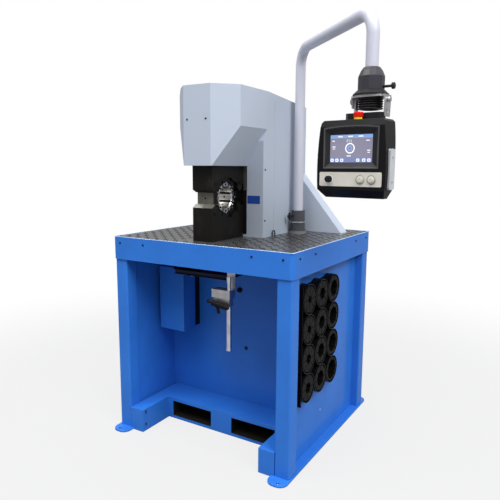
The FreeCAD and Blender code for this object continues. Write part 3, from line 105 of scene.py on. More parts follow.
class Finish(Maker):
    # one material: its shader, and the nodes that vary it over the surface

    def __init__(self, name, colour, **fixed):
        self.material = bpy.data.materials.new(name)
        self.material.use_nodes = True
        super().__init__(self.material.node_tree)
        self.shader = self.tree.nodes["Principled BSDF"]
        self.colour = (*colour, 1.0)
        self.set(Base_Color=self.colour, **fixed)
        self.material.diffuse_color = self.colour

    def set(self, **sockets):
        for key, value in sockets.items():
            self.feed(self.shader.inputs[key.replace("_", " ")], value)
        return self

    def place(self):
        return self.node("ShaderNodeTexCoord", output=3)

    def axes(self):
        first = self.node("ShaderNodeSeparateXYZ", None, {0: self.place()})
        return [Wire(self, out) for out in first.socket.node.outputs]

    def stretched(self, x, y, z):
        return self.node("ShaderNodeVectorMath", {"operation": "MULTIPLY"}, {0: self.place(), 1: (x, y, z)})

    def noise(self, scale, detail=2.0, where=None):
        return self.node("ShaderNodeTexNoise", None,
                         {"Vector": where or self.place(), "Scale": scale, "Detail": detail})

    def cells(self, scale):
        return self.node("ShaderNodeTexVoronoi", None, {"Vector": self.place(), "Scale": scale})

    def between(self, value, low, high, start=0.0, end=1.0):
        return self.node("ShaderNodeMapRange", {"interpolation_type": "SMOOTHSTEP"},
                         {"Value": value, "From Min": low, "From Max": high, "To Min": start, "To Max": end})

    def mix(self, share, first, second):
        return self.node("ShaderNodeMix", {"data_type": "RGBA"}, {0: share, 6: first, 7: second}, 2)

    def shade(self, factor):
        # the base colour made lighter or darker
        return tuple(min(1.0, c * factor) for c in self.colour[:3]) + (1.0,)

    def bump(self, height, distance, strength=1.0):
        out = self.node("ShaderNodeBump", None, {"Height": height, "Distance": distance, "Strength": strength})
        return self.set(Normal=out)


# finishes
look = {
    "benchBlue": (0.030, 0.178, 0.64),
    "coverGrey": (0.46, 0.52, 0.62),
    "poleGrey": (0.56, 0.57, 0.66),
    "matGrey": (0.056, 0.056, 0.058),
    "blockBlack": (0.0075, 0.0068, 0.0060),
    "panelBlack": (0.0065, 0.0065, 0.0075),
    "keyCream": (0.62, 0.60, 0.54),
    "steel": (0.52, 0.53, 0.55),
}


def glossPaint(name, colour, roughness=0.20, peel=0.00003):
    # powder coat: even colour, fine orange peel, slightly varied gloss
    f = Finish(name, colour, Specular_IOR_Level=0.16, Coat_Roughness=0.05)
    wide = f.noise(5.0, 3.0)
    f.set(Base_Color=f.mix(f.between(wide, 0.3, 0.7), f.shade(0.95), f.shade(1.05)))
    f.set(Roughness=roughness + f.noise(40.0, 4.0) * 0.08, Coat_Weight=0.08)
    return f.bump(f.noise(700.0, 1.0), peel, 0.6)


def satinPaint(name, colour, roughness=0.42):
    # textured powder coat with a fine grain
    f = Finish(name, colour, Specular_IOR_Level=0.30)
    f.set(Base_Color=f.mix(f.noise(1400.0, 1.0), f.shade(0.96), f.shade(1.04)))
    f.set(Roughness=roughness + f.noise(60.0, 3.0) * 0.12)
    return f.bump(f.noise(1100.0, 2.0), 0.00006, 0.7)


def brushed(name, colour, roughness=0.30, along="x", grain=0.00002, metallic=1.0):
    # machined or brushed metal with streaks along one direction
    f = Finish(name, colour, Metallic=metallic)
    pull = {"x": (20, 900, 900), "y": (900, 20, 900), "z": (900, 900, 20)}[along]
    streak = f.noise(1.0, 3.0, f.stretched(*pull))
    stain = f.noise(25.0, 3.0)
    f.set(Base_Color=f.mix(f.between(stain, 0.35, 0.7), f.shade(1.08), f.shade(0.82)))
    f.set(Roughness=roughness - 0.08 + streak * 0.16 + stain * 0.08)
    return f.bump(streak, grain, 0.6)


def moulded(name, colour, roughness=0.48, grain=1600.0, depth=0.00005, shine=0.14):
    # moulded plastic or rubber with a fine leathery grain
    f = Finish(name, colour, Specular_IOR_Level=shine)
    f.set(Base_Color=f.mix(f.noise(30.0, 3.0), f.shade(0.88), f.shade(1.12)))
    f.set(Roughness=roughness - 0.05 + f.noise(90.0, 2.0) * 0.12)
    return f.bump(f.cells(grain), depth, 0.6)


def blackened(name, colour, roughness=0.36):
    # black oxide and paint on machined blocks, rubbed a little brown where handled
    f = Finish(name, colour, Specular_IOR_Level=0.14)
    rub = f.between(f.noise(18.0, 4.0), 0.55, 0.80)
    f.set(Base_Color=f.mix(rub, f.colour, (0.019, 0.016, 0.012, 1)))
    f.set(Roughness=roughness + f.noise(120.0, 3.0) * 0.12)
    return f.bump(f.noise(500.0, 3.0), 0.00003, 0.5)


def glintFlecked(name, colour, glintColour):
    # dark oiled steel with painted highlights: pale spots stand in for the edges that catch the light
    f = Finish(name, colour, Specular_IOR_Level=0.10)
    paintedGlints = f.between(f.cells(150.0), 0.04, 0.15, 1.0, 0.0) * f.between(f.noise(45.0, 2.0), 0.50, 0.60)
    f.set(Base_Color=f.mix(paintedGlints, f.colour, (*glintColour, 1.0)))
    f.set(Roughness=0.34 + f.noise(80.0) * 0.14)
    return f.bump(f.noise(300.0, 2.0), 0.00005, 0.6)


def lit(name, colour, strength):
    # a field of the lit screen
    f = Finish(name, colour, Roughness=0.30, Emission_Color=(*colour, 1.0), Emission_Strength=strength)
    return f.set(Base_Color=f.mix(f.noise(160.0, 2.0), f.shade(0.90), f.shade(1.06)))


bluePaint = glossPaint("benchPaint", look["benchBlue"])
trayBlue = glossPaint("trayPaint", (0.006, 0.016, 0.050))
# pale blue painted highlight for the bead along the rim's top edge
paintedHighlightBlue = glossPaint("paintedHighlightEdge", (0.50, 0.66, 0.92))
greyPaint = satinPaint("coverPaint", look["coverGrey"])
polePaint = satinPaint("polePaint", look["poleGrey"], 0.30)
matRubber = moulded("matRubber", look["matGrey"], 0.26, 900.0, 0.00003, 0.85)
# near-black rubber: the stop lever's real grip, and on the mat's bars a painted shade darker than the mat itself
gripRubberAndTreadShade = moulded("gripRubberAndTreadShade", (0.007, 0.007, 0.008), 0.45, 900.0, 0.00002, 0.10)
blockPaint = blackened("blockPaint", look["blockBlack"])
dieSteel = brushed("dieSteel", (0.66, 0.64, 0.61), 0.24, "x")
gibSteel = brushed("gibSteel", (0.30, 0.30, 0.30), 0.40, "z")
rampSteel = brushed("rampSteel", (0.50, 0.49, 0.46), 0.30, "x")
tongueSteel = brushed("tongueSteel", (0.130, 0.122, 0.100), 0.42, "x", 0.00002, 0.5)
masterSteel = brushed("masterSteel", (0.030, 0.029, 0.028), 0.36, "x")
# near-black for the jaws' screws, and painted shade in their dimples and along their joints
jawScrewAndShadeBlack = moulded("jawScrewAndShadeBlack", (0.0015, 0.0015, 0.0016), 0.60, 1800.0, 0.00001, 0.03)
# near-black stored dies, with pale spots as painted highlights
storedSteel = glintFlecked("storedSteel", (0.0035, 0.0035, 0.0035), (0.30, 0.30, 0.29))
bareSteel = brushed("bareSteel", look["steel"], 0.28, "z")
zincPlate = brushed("zincPlate", (0.60, 0.60, 0.62), 0.34, "x")
chrome = brushed("chromedRod", (0.72, 0.73, 0.76), 0.14, "z", 0.000004)
alloy = brushed("milledAlloy", (0.60, 0.60, 0.62), 0.32, "x")
screwBlack = brushed("screwBlack", (0.020, 0.020, 0.022), 0.32, "x")
jointBlack = moulded("jointBlack", (0.016, 0.016, 0.018), 0.36)
# lighter grey painted highlight for the screen's front lip
lipHighlightGrey = moulded("lipHighlightGrey", (0.075, 0.076, 0.082), 0.34, 2600.0, 0.00003)
footGrey = moulded("footGrey", (0.075, 0.080, 0.088), 0.40)
flangeGrey = moulded("flangeGrey", (0.20, 0.21, 0.22), 0.40)
# near-black painted shade for the inside of the fork pockets
pocketShadeBlack = satinPaint("pocketShadeBlack", (0.012, 0.011, 0.009))
softBlack = moulded("softBlack", (0.017, 0.017, 0.019), 0.40, 2200.0, 0.00003, 0.35)
domeGrey = moulded("domeGrey", (0.040, 0.038, 0.048), 0.30, 1500.0, 0.00004, 0.30)
panelBlack = moulded("panelBlack", look["panelBlack"], 0.34, 2600.0, 0.00003)
sunkGrey = moulded("sunkGrey", (0.022, 0.022, 0.025), 0.36, 2600.0, 0.00003)
rackBlack = moulded("rackBlack", (0.0035, 0.0035, 0.004), 0.26, 1800.0, 0.00002, 0.16)
keyFilm = moulded("keyFilm", look["keyCream"], 0.42, 3000.0, 0.00001)
capCream = moulded("capCream", (0.66, 0.64, 0.57), 0.28, 3000.0, 0.00001)
markGrey = moulded("markGrey", (0.33, 0.32, 0.30), 0.45, 3000.0, 0.00001)
stopRed = moulded("stopRed", (0.66, 0.008, 0.006), 0.26, 3000.0, 0.00001)
stopYellow = moulded("stopYellow", (0.90, 0.68, 0.03), 0.32, 3000.0, 0.00001)
podGrey = moulded("podGrey", (0.50, 0.52, 0.54), 0.45)
plateBlue = moulded("plateBlue", (0.020, 0.070, 0.36), 0.32, 2400.0, 0.00001)
tankPaint = satinPaint("tankPaint", (0.09, 0.10, 0.11))
motorPaint = satinPaint("motorPaint", (0.11, 0.13, 0.16), 0.5)
finAlloy = brushed("finAlloy", (0.03, 0.03, 0.032), 0.42, "z")
valveZinc = brushed("valveZinc", (0.40, 0.38, 0.31), 0.36, "y")
fieldViolet = lit("fieldViolet", (0.235, 0.225, 0.305), 0.33)
barPale = lit("barPale", (0.22, 0.36, 0.68), 0.40)
barBlue = lit("barBlue", (0.17, 0.21, 0.40), 0.40)
# glowing white for the screen's signs, also used as a painted glow on the knob's printed ring
signWhite = lit("signWhite", (0.85, 0.88, 0.95), 0.45)
print("finishes made")


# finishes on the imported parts
def dress(names, finish, edge=0.0006, segments=2, others=(), rule=None):
    # a rule gives each face's place in the list of finishes from its centre in millimetres
    for name in names.split():
        part = nodes[name]
        part.data.materials.clear()
        for each in (finish, *others):
            part.data.materials.append(each.material)
        if rule:
            for face in part.data.polygons:
                face.material_index = rule(face.center / mm)
        weld = part.modifiers.new("weld", "WELD")
        weld.merge_threshold = 0.00001
        if edge:
            bevel = part.modifiers.new("edge", "BEVEL")
            bevel.width = edge
            bevel.segments = segments
            bevel.limit_method = "ANGLE"
            bevel.angle_limit = bevelAngle
        even = part.modifiers.new("even", "WEIGHTED_NORMAL")
        even.keep_sharp = True


place = {
    "drop": (661.0, -268.0),     # the arm's drop tube, in millimetres
    "yaw": -6.3,                 # the panel's turn about it, in degrees
    "crimp": (-12.5, -226.5, 1079.0),
    "skirtLow": 1452.6,
    "tongue": 92.5,              # a master's end in the frame's notch, in front of the crimp axis
    "slope": (-325.0, 1042.0, 1053.0),             # limits of y and z round the frame's bare slope
    "coverScrews": (-165.3, 140.3),
    "flangeTop": 911.0,
    "bandTop": 955.9,
    "lip": -91.0,
    "tiltEnds": (-56.4, 71.0),   # across the panel: the knob lies left of these, the nut right of them
    "armLow": 1394.5,
    "fork": (168.0, -229.0, 13.5, 88.5, 112.0),    # middle, front, floor, top and half width of a pocket
    "jawReach": 62.05,
    "pinReach": 40.6,
}
panelTurn = Matrix.Translation((place["drop"][0] * mm, place["drop"][1] * mm, 0))
panelTurn = panelTurn @ Matrix.Rotation(math.radians(place["yaw"]), 4, "Z")


def dieRule(c):
    # jaw 0, master 1, pins 2, the master's end in the frame's notch 3
    x, y, z = place["crimp"]
    if c.y < y - place["tongue"]:
        return 3
    if abs(c.x - x) > place["pinReach"]:
        return 2
    return 0 if math.hypot(c.y - y, c.z - z) < place["jawReach"] else 1


def onPanel(c):
    # a point in the panel's own frame, in millimetres
    return (panelTurn.inverted() @ (c * mm)) / mm


def baseRule(c):
    # outside 0, inside of the fork pockets 1, which is near-black painted shade
    x, y, low, high, half = place["fork"]
    return 1 if c.y > y and low < c.z < high and abs(abs(c.x) - x) < half else 0


def tiltRule(c):
    # block 0, knob 1, nut and arms 2
    u = onPanel(c).x
    knob, nut = place["tiltEnds"]
    return 1 if u < knob else 2 if u > nut or c.z > place["armLow"] else 0


def frameRule(c):
    # block 0, bare slope in front below the dies 1
    front, low, high = place["slope"]
    return 1 if c.y < front and low < c.z < high else 0


def columnRule(c):
    # sheet 0, screw heads on its sides 1
    left, right = place["coverScrews"]
    return 1 if c.x > right or c.x < left else 0


def below(level):
    return lambda c: 1 if c.z < place[level] else 0


dieNames = " ".join(n for n in nodes if n.startswith("die_") and n != "die_rack")
dress("foot_plates corner_posts side_panels", bluePaint, 0.0012, 3)
dress("base_box", bluePaint, 0.0012, 3, [pocketShadeBlack], baseRule)
dress("rim_tray", bluePaint, 0.0012, 3)
dress("cross_rails knee_panel rear_panel", bluePaint, 0.0008)
dress("chip_tray", trayBlue, 0.0008)
dress("cabinet_body cabinet_cover", bluePaint, 0.0008)
dress("rubber_mat", matRubber, 0.0012)
dress("rim_screws", screwBlack, 0.0003)
dress("head_cover wing_covers", greyPaint, 0.0012, 3)
dress("column_cover", greyPaint, 0.0012, 3, [screwBlack], columnRule)
dress("c_frame", blockPaint, 0.0008, 2, [rampSteel], frameRule)
dress("ram_block", blockPaint, 0.0008)
dress("guide_strips", gibSteel, 0.0005)
dress("cylinder piston_rod", bareSteel, 0.0005)
dress("pole_tube", polePaint, 0.0)
dress("pole_base", footGrey, 0.0010, 2, [flangeGrey], below("flangeTop"))
dress("pole_collar", footGrey, 0.0010, 2, [zincPlate], below("bandTop"))
dress("pole_handle clamp_knob", jointBlack, 0.0008)
dress("stop_lever", gripRubberAndTreadShade, 0.0008)
dress("coupling", domeGrey, 0.0016, 3)
dress("tilt_base", jointBlack, 0.0012, 2, [footGrey, zincPlate], tiltRule)
dress("swivel_joint", zincPlate, 0.0008, 2, [jointBlack], lambda c: 1 if c.z > place["skirtLow"] else 0)
dress("bellows", softBlack, 0.0010)
dress("panel_housing", panelBlack, 0.0030, 3)
# the screen's front lip is painted lighter grey as a highlight along its edge
dress("screen", sunkGrey, 0.0, 2, [lipHighlightGrey], lambda c: 1 if onPanel(c).y < place["lip"] else 0)
dress("key_plate", keyFilm, 0.0003)
dress("push_bezels", capCream, 0.0008)
dress("push_left push_right", capCream, 0.0)
dress("selector_knob", jointBlack, 0.0006)
dress("stop_collar", stopYellow, 0.0008)
dress("stop_button", stopRed, 0.0)
dress("side_pod", podGrey, 0.0012)
dress("die_rack", rackBlack, 0.0006)
dress("stored_dies", storedSteel, 0.0004)
dress("stop_bracket", alloy, 0.0006)
dress("stop_rod", chrome, 0.0005)
dress("heat_sink", finAlloy, 0.0003)
dress("chip_runners", screwBlack, 0.0003)
dress("pressure_pipe", zincPlate, 0.0003)
dress("oil_tank", tankPaint, 0.0008)
dress("motor_pump", motorPaint, 0.0008)
dress("valve_block", valveZinc, 0.0006)
dress(dieNames, dieSteel, 0.0004, 2, [masterSteel, zincPlate, tongueSteel], dieRule)
print("parts dressed; without a finish:", [n for n in nodes if not nodes[n].data.materials])


# mesh helpers, all in millimetres until the piece is made
def slab(bm, outline, low, high, slot=0):
    # plate over an outline in the drawing plane
    under = [bm.verts.new((x, y, low)) for x, y in outline]
    over = [bm.verts.new((x, y, high)) for x, y in outline]
    faces = [bm.faces.new(under[::-1]), bm.faces.new(over)]
    for k, corner in enumerate(under):
        after = (k + 1) % len(under)
        faces.append(bm.faces.new((corner, under[after], over[after], over[k])))
    for face in faces:
        face.material_index = slot


def roundedBox(x0, x1, y0, y1, radius, steps=4):
    # outline of a plate with rounded corners
    points = []
    for k, (x, y) in enumerate(((x1, y1), (x0, y1), (x0, y0), (x1, y0))):
        cx = x - radius if x == x1 else x + radius
        cy = y - radius if y == y1 else y + radius
        for step in range(steps + 1):
            a = math.pi / 2 * (k + step / steps)
            points.append((cx + radius * math.cos(a), cy + radius * math.sin(a)))
    return points


def turned(bm, profile, sides=28, at=(0, 0), slot=0):
    # body turned about the drawing plane's normal; the profile is (radius, height), closed at its ends
    rings = []
    for r, h in profile:
        if r == 0:
            rings.append([bm.verts.new((at[0], at[1], h))])
            continue
        turns = [2 * math.pi * k / sides for k in range(sides)]
        rings.append([bm.verts.new((at[0] + r * math.cos(a), at[1] + r * math.sin(a), h)) for a in turns])
    for low, high in zip(rings, rings[1:]):
        for k in range(sides):
            n = (k + 1) % sides
            if len(low) == 1:
                face = bm.faces.new((low[0], high[n], high[k]))
            elif len(high) == 1:
                face = bm.faces.new((low[k], low[n], high[0]))
            else:
                face = bm.faces.new((low[k], low[n], high[n], high[k]))
            face.material_index = slot


def hoop(bm, outer, inner, low, high, sides=36, at=(0, 0), slot=0):
    # flat washer
    corners = [(outer, low), (outer, high), (inner, high), (inner, low)]
    turned(bm, corners + corners[:1], sides, at, slot)


def facing(axis, level):
    # drawing plane on a face of the machine: "front" looks to the operator, "right" and "left" to its sides
    rows = {"front": ((1, 0, 0, 0), (0, 0, -1, level), (0, 1, 0, 0)),
            "right": ((0, 0, 1, level), (1, 0, 0, 0), (0, 1, 0, 0)),
            "left": ((0, 0, -1, level), (-1, 0, 0, 0), (0, 1, 0, 0))}[axis]
    return Matrix((*rows, (0, 0, 0, 1)))


def onDisplay(v):
    # drawing plane across the panel at a depth v of its frame, in millimetres
    turn = panelTurn.copy()
    turn.translation = turn.translation / mm
    return turn @ facing("front", v)


def makePiece(name, bm, finishes, body, turn, edge=0.0, smooth=True):
    bmesh.ops.remove_doubles(bm, verts=bm.verts, dist=0.0005)
    bm.transform(Matrix.Scale(mm, 4) @ turn)
    bmesh.ops.recalc_face_normals(bm, faces=bm.faces)
    mesh = bpy.data.meshes.new(name)
    bm.to_mesh(mesh)
    bm.free()
    for finish in finishes:
        mesh.materials.append(finish.material)
    piece = bpy.data.objects.new(name, mesh)
    bpy.context.scene.collection.objects.link(piece)
    if edge:
        bevel = piece.modifiers.new("edge", "BEVEL")
        bevel.width = edge * mm
        bevel.segments = 2
        bevel.limit_method = "ANGLE"
        bevel.angle_limit = bevelAngle
    if smooth:
        for face in mesh.polygons:
            face.use_smooth = True
        even = piece.modifiers.new("even", "WEIGHTED_NORMAL")
        even.keep_sharp = True
    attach(piece, body)


def boxOf(name):
    low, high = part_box(name)
    return Vector(low) / mm, Vector(high) / mm


# rubber tread of the bench mat: boat-shaped bars, each at a right angle to its neighbours; the bars are painted much
# darker than the mat as shade
tread = {"pitch": 26.5, "long": 28.0, "wide": 8.0, "high": 1.3, "edge": 16.0, "clear": 12.0}


def makeTread():
    bm = bmesh.new()
    low, high = boxOf("rubber_mat")
    standing = [boxOf(n) for n in ("c_frame", "column_cover", "wing_covers", "pole_base")]
    a, b, h = tread["long"] / 2, tread["wide"] / 2, tread["high"]
    ring = [(-a, 0), (-a / 2, -b), (a / 2, -b), (a, 0), (a / 2, b), (-a / 2, b)]
    across = int((high.x - low.x - 2 * tread["edge"]) / tread["pitch"])
    along = int((high.y - low.y - 2 * tread["edge"]) / tread["pitch"])
    for i in range(across + 1):
        for j in range(along + 1):
            x = (i - across / 2) * tread["pitch"]
            y = (j - along / 2) * tread["pitch"]
            gap = tread["clear"]
            if (i + j) % 2 or any(s.x - gap < x < t.x + gap and s.y - gap < y < t.y + gap for s, t in standing):
                continue
            turn = math.radians(45 if i % 2 else -45)
            c, s = math.cos(turn), math.sin(turn)
            foot = [bm.verts.new((x + u * c - v * s, y + u * s + v * c, high.z - 0.1)) for u, v in ring]
            top = [bm.verts.new((x + u * c, y + u * s, high.z + h)) for u in (-a / 2, a / 2)]
            bm.faces.new(foot[::-1])
            bm.faces.new((foot[0], foot[1], top[0]))
            bm.faces.new((foot[1], foot[2], top[1], top[0]))
            bm.faces.new((foot[2], foot[3], top[1]))
            bm.faces.new((foot[3], foot[4], top[1]))
            bm.faces.new((foot[4], foot[5], top[0], top[1]))
            bm.faces.new((foot[5], foot[0], top[0]))
    makePiece("matTread", bm, [gripRubberAndTreadShade], "bench", Matrix.Identity(4), smooth=False)


# rounded bead along the top edge of the rim, painted pale blue as a highlight on that edge
bead = {"wide": 3.6, "high": 1.6, "foot": 0.1}


def makeHighlightBead():
    bm = bmesh.new()
    low, high = boxOf("rim_tray")
    w, h = bead["wide"], bead["high"]
    section = [(0.0, -bead["foot"]), (0.0, h * 0.5), (w * 0.2, h), (w * 0.8, h), (w, h * 0.5), (w, -bead["foot"])]
    rings = []
    for inset, rise in section:
        x0, x1, y0, y1 = low.x + inset, high.x - inset, low.y + inset, high.y - inset
        z = high.z + rise
        rings.append([bm.verts.new(c) for c in ((x0, y0, z), (x1, y0, z), (x1, y1, z), (x0, y1, z))])
    for k, ring in enumerate(rings):
        after = rings[(k + 1) % len(rings)]
        for j in range(4):
            n = (j + 1) % 4
            bm.faces.new((ring[j], ring[n], after[n], after[j]))
    makePiece("rimHighlightBead", bm, [paintedHighlightBlue], "bench", Matrix.Identity(4), 0.3)


# picture on the lit screen: two bars, a row of keys, a ring of the hose's section and plain figures
display = {
    "face": -80.0,
    "field": (-108.3, 51.3, 1225.2, 1319.8),
    "topBar": (-108.0, 51.0, 1308.0, 1319.5),
    "lowBar": (-108.0, 51.0, 1225.5, 1241.0),
    "keys": (-100.0, -81.0, -62.0, -1.0, 21.0, 40.0),
    "keyLevel": 1233.0,
    "tabs": (-70.0, -31.0, 8.0),
    "tabLevel": 1313.5,
    "ring": (-32.0, 1273.5, 18.0, 14.0, 9.0, 4.5),
    "figures": (-45.0, 1294.5, 8.5, "27.5"),
    "marks": ((-94.0, 1279.0, 12, 3), (-94.0, 1272.0, 9, 2.5), (34.0, 1299.0, 13, 3), (38.0, 1266.0, 12, 3),
              (38.0, 1259.0, 9, 2.5), (-36.0, 1247.5, 16, 3), (-96.0, 1299.0, 10, 3)),
}
# strokes of a plain figure: each is (x, y, wide, high) in shares of its height
strokes = {"a": (0.08, 0.90, 0.34, 0.10), "b": (0.42, 0.52, 0.10, 0.42), "c": (0.42, 0.06, 0.10, 0.42),
           "d": (0.08, 0.00, 0.34, 0.10), "e": (-0.02, 0.06, 0.10, 0.42), "f": (-0.02, 0.52, 0.10, 0.42),
           "g": (0.08, 0.45, 0.34, 0.10), "p": (0.02, 0.00, 0.12, 0.12)}
digits = {"0": "abcdef", "1": "bc", "2": "abged", "3": "abgcd", "4": "fgbc", "5": "afgcd", "6": "afgedc",
          "7": "abc", "8": "abcdefg", "9": "gfabcd", ".": "p"}


def writeFigure(bm, text, x, y, high, low, top, slot):
    for sign in text:
        for stroke in digits[sign]:
            u, v, w, h = (share * high for share in strokes[stroke])
            slab(bm, [(x + u, y + v), (x + u + w, y + v), (x + u + w, y + v + h), (x + u, y + v + h)], low, top, slot)
        x += high * (0.30 if sign == "." else 0.72)


def makeDisplay():
    bm = bmesh.new()
    x0, x1, y0, y1 = display["field"]
    slab(bm, roundedBox(x0, x1, y0, y1, 1.5), -0.1, 0.25)
    for key, slot in (("topBar", 1), ("lowBar", 2)):
        x0, x1, y0, y1 = display[key]
        slab(bm, roundedBox(x0, x1, y0, y1, 1.0), 0.2, 0.4, slot)
    y = display["keyLevel"]
    for x in display["keys"]:
        slab(bm, roundedBox(x - 6.0, x + 6.0, y - 5.4, y + 5.4, 3.0), 0.35, 0.6, 3)
        slab(bm, roundedBox(x - 2.4, x + 2.4, y - 2.4, y + 2.4, 1.0), 0.55, 0.7, 2)
    y = display["tabLevel"]
    for x in display["tabs"]:
        slab(bm, roundedBox(x - 9.0, x + 9.0, y - 2.0, y + 2.0, 1.0), 0.35, 0.6, 3)
    x, y, outer, inner, ring, hole = display["ring"]
    hoop(bm, outer, inner, 0.2, 0.5, 40, (x, y), 3)
    hoop(bm, ring, hole, 0.2, 0.5, 32, (x, y), 1)
    x, y, high, text = display["figures"]
    writeFigure(bm, text, x, y, high, 0.2, 0.5, 3)
    for x, y, w, h in display["marks"]:
        slab(bm, roundedBox(x - w / 2, x + w / 2, y - h / 2, y + h / 2, 0.8), 0.2, 0.45, 3)
    makePiece("screenPicture", bm, [fieldViolet, barPale, barBlue, signWhite], "panel",
              onDisplay(display["face"]), smooth=False)


# marks on the key plate, the bezels and the two push buttons; a ring is its outer and inner radius
keys = {
    "face": -93.2,
    "level": 1167.5,
    "knob": -103.0,
    "pushes": (16.5, 57.5),
    "scale": (15.5, 18.5),
    "line": 0.45,
    "knobRing": (14.6, 13.2),
    "pushRing": (16.4, 15.0),
    "bezelFace": -96.2,
    "bezelRing": (14.4, 13.3),
    "pushFace": -99.6,
    "sign": (5.2, 3.6),
}


def makeKeyMarks():
    bm = bmesh.new()
    low, high = keys["scale"]
    for step in range(-3, 4):
        a = math.radians(90 - 30 * step)
        c, s = math.cos(a), math.sin(a)
        w = keys["line"]
        ends = [(low, -w), (high, -w), (high, w), (low, w)]
        slab(bm, [(keys["knob"] + u * c - v * s, keys["level"] + u * s + v * c) for u, v in ends], -0.1, 0.15)
    # the ring round the selector knob is print drawn in the screen's glowing white, so it glows as painted light
    hoop(bm, *keys["knobRing"], -0.1, 0.3, 44, (keys["knob"], keys["level"]), 1)
    for x in keys["pushes"]:
        hoop(bm, *keys["pushRing"], -0.1, 0.15, 44, (x, keys["level"]))
    makePiece("keyMarks", bm, [markGrey, signWhite], "panel", onDisplay(keys["face"]), smooth=False)


# plates, strips and screws on the machine's sheet covers
trim = {
    "plate": (60.3, 124.7, 1049.3, 1084.3),
    "strip": (37.2, 56.8, 912.0, 1106.8),
    "plateThick": 0.9,
    "stripThick": 1.6,
    "columnFace": -104.0,
    "headFace": -375.0,
    "headScrews": ((-60.7, 1396.0), (30.9, 1396.0)),
}


def screwHead(bm, x, y, r=3.8, h=2.2):
    profile = [(0, -0.3), (r, -0.3), (r, h * 0.6), (r * 0.82, h), (r * 0.48, h), (r * 0.42, h * 0.35), (0, h * 0.35)]
    turned(bm, profile, 24, (x, y))


def makeTrim():
    front = facing("front", trim["columnFace"])
    bm = bmesh.new()
    x0, x1, y0, y1 = trim["plate"]
    slab(bm, roundedBox(x0, x1, y0, y1, 2.5), -0.1, trim["plateThick"])
    makePiece("bluePlate", bm, [plateBlue], "bench", front, 0.3)
    bm = bmesh.new()
    x0, x1, y0, y1 = trim["strip"]
    slab(bm, roundedBox(x0, x1, y0, y1, 0.8), -0.1, trim["stripThick"])
    makePiece("edgeStrip", bm, [blockPaint], "bench", front, 0.4)
    bm = bmesh.new()
    for x, y in trim["headScrews"]:
        screwHead(bm, x, y)
    makePiece("headScrews", bm, [screwBlack], "bench", facing("front", trim["headFace"]))


# the eight jaws: a dark screw in each end, a dimple in each bore painted black as shade, and dark strips along the
# joints between them as painted shade
jaws = {
    "bodies": ("die_rear", "die_upper_rear", "ram", "die_upper_front", "die_front", "die_lower_front", "bench",
               "die_lower_rear"),
    "open": 6.5,
    "end": 26.0,
    "bore": 39.5,
    "boreEnds": (-46.5, 21.5),
    "face": (43.7, 55.3),
    "joint": (0.35, 2.3),
    "screw": 49.5,
    "screwRadius": 4.6,
    "dimple": 4.4,
}


def onJaw(k):
    # drawing plane of one jaw, from the middle of its own bore, its first axis pointing out from the crimp axis
    y, z = place["crimp"][1:]
    turn = Matrix.Translation((y, z, 0)) @ Matrix.Rotation(math.radians(45 * k), 4, "Z")
    return facing("right", 0) @ turn @ Matrix.Translation((jaws["open"], 0, 0))


def makeJaws():
    half = math.radians(22.5)
    for k, body in enumerate(jaws["bodies"]):
        bm = bmesh.new()
        end, bore = jaws["end"], jaws["bore"]
        (inner, outer), (near, far) = jaws["face"], jaws["joint"]
        # strips along each joint and in the bore beside it, painted dark as shade between the jaws
        for side in (-1, 1):
            edge = [(inner, -near), (outer, -near), (outer, -far), (inner, -far)]
            c, s = math.cos(half), math.sin(half)
            strip = [(u * c - v * s, side * (u * s + v * c)) for u, v in edge]
            slab(bm, strip, end - 0.1, end + 0.25)
            arc = [(bore - 0.2, near), (bore + 0.3, near), (bore + 0.3, far), (bore - 0.2, far)]
            arc = [(r, half - v / bore) for r, v in arc]
            slab(bm, [(r * math.cos(a), side * r * math.sin(a)) for r, a in arc], *jaws["boreEnds"])
        r, h = jaws["screwRadius"], end + 0.9
        profile = [(0, end - 0.2), (r, end - 0.2), (r, h), (r * 0.6, h), (r * 0.5, end + 0.2), (0, end + 0.2)]
        turned(bm, profile, 20, (jaws["screw"], 0))
        known = set(bm.verts)
        r = jaws["dimple"]
        turned(bm, [(0, -0.3), (r, -0.3), (r, 0.35), (r - 1.2, 0.35), (r - 1.4, 0.1), (0, 0.1)], 18)
        fresh = [v for v in bm.verts if v not in known]
        inward = Matrix.Translation((bore, 0, place["crimp"][0])) @ Matrix.Rotation(math.radians(-90), 4, "Y")
        bmesh.ops.transform(bm, matrix=inward, verts=fresh)
        makePiece("jawScrewsAndShade_" + body, bm, [jawScrewAndShadeBlack], body, onJaw(k), smooth=False)


# folded sheet on the column's right side and the small hook at its foot
seams = {
    "side": 140.0,
    "fold": (-6.0, 63.0, 902.0, 1497.0),
    "foldThick": 1.4,
    "hook": (149.0, -22.0, 12.0, 26.0, 2.6),       # x, y, half width, height and radius of its wire
    "table": 900.0,
}


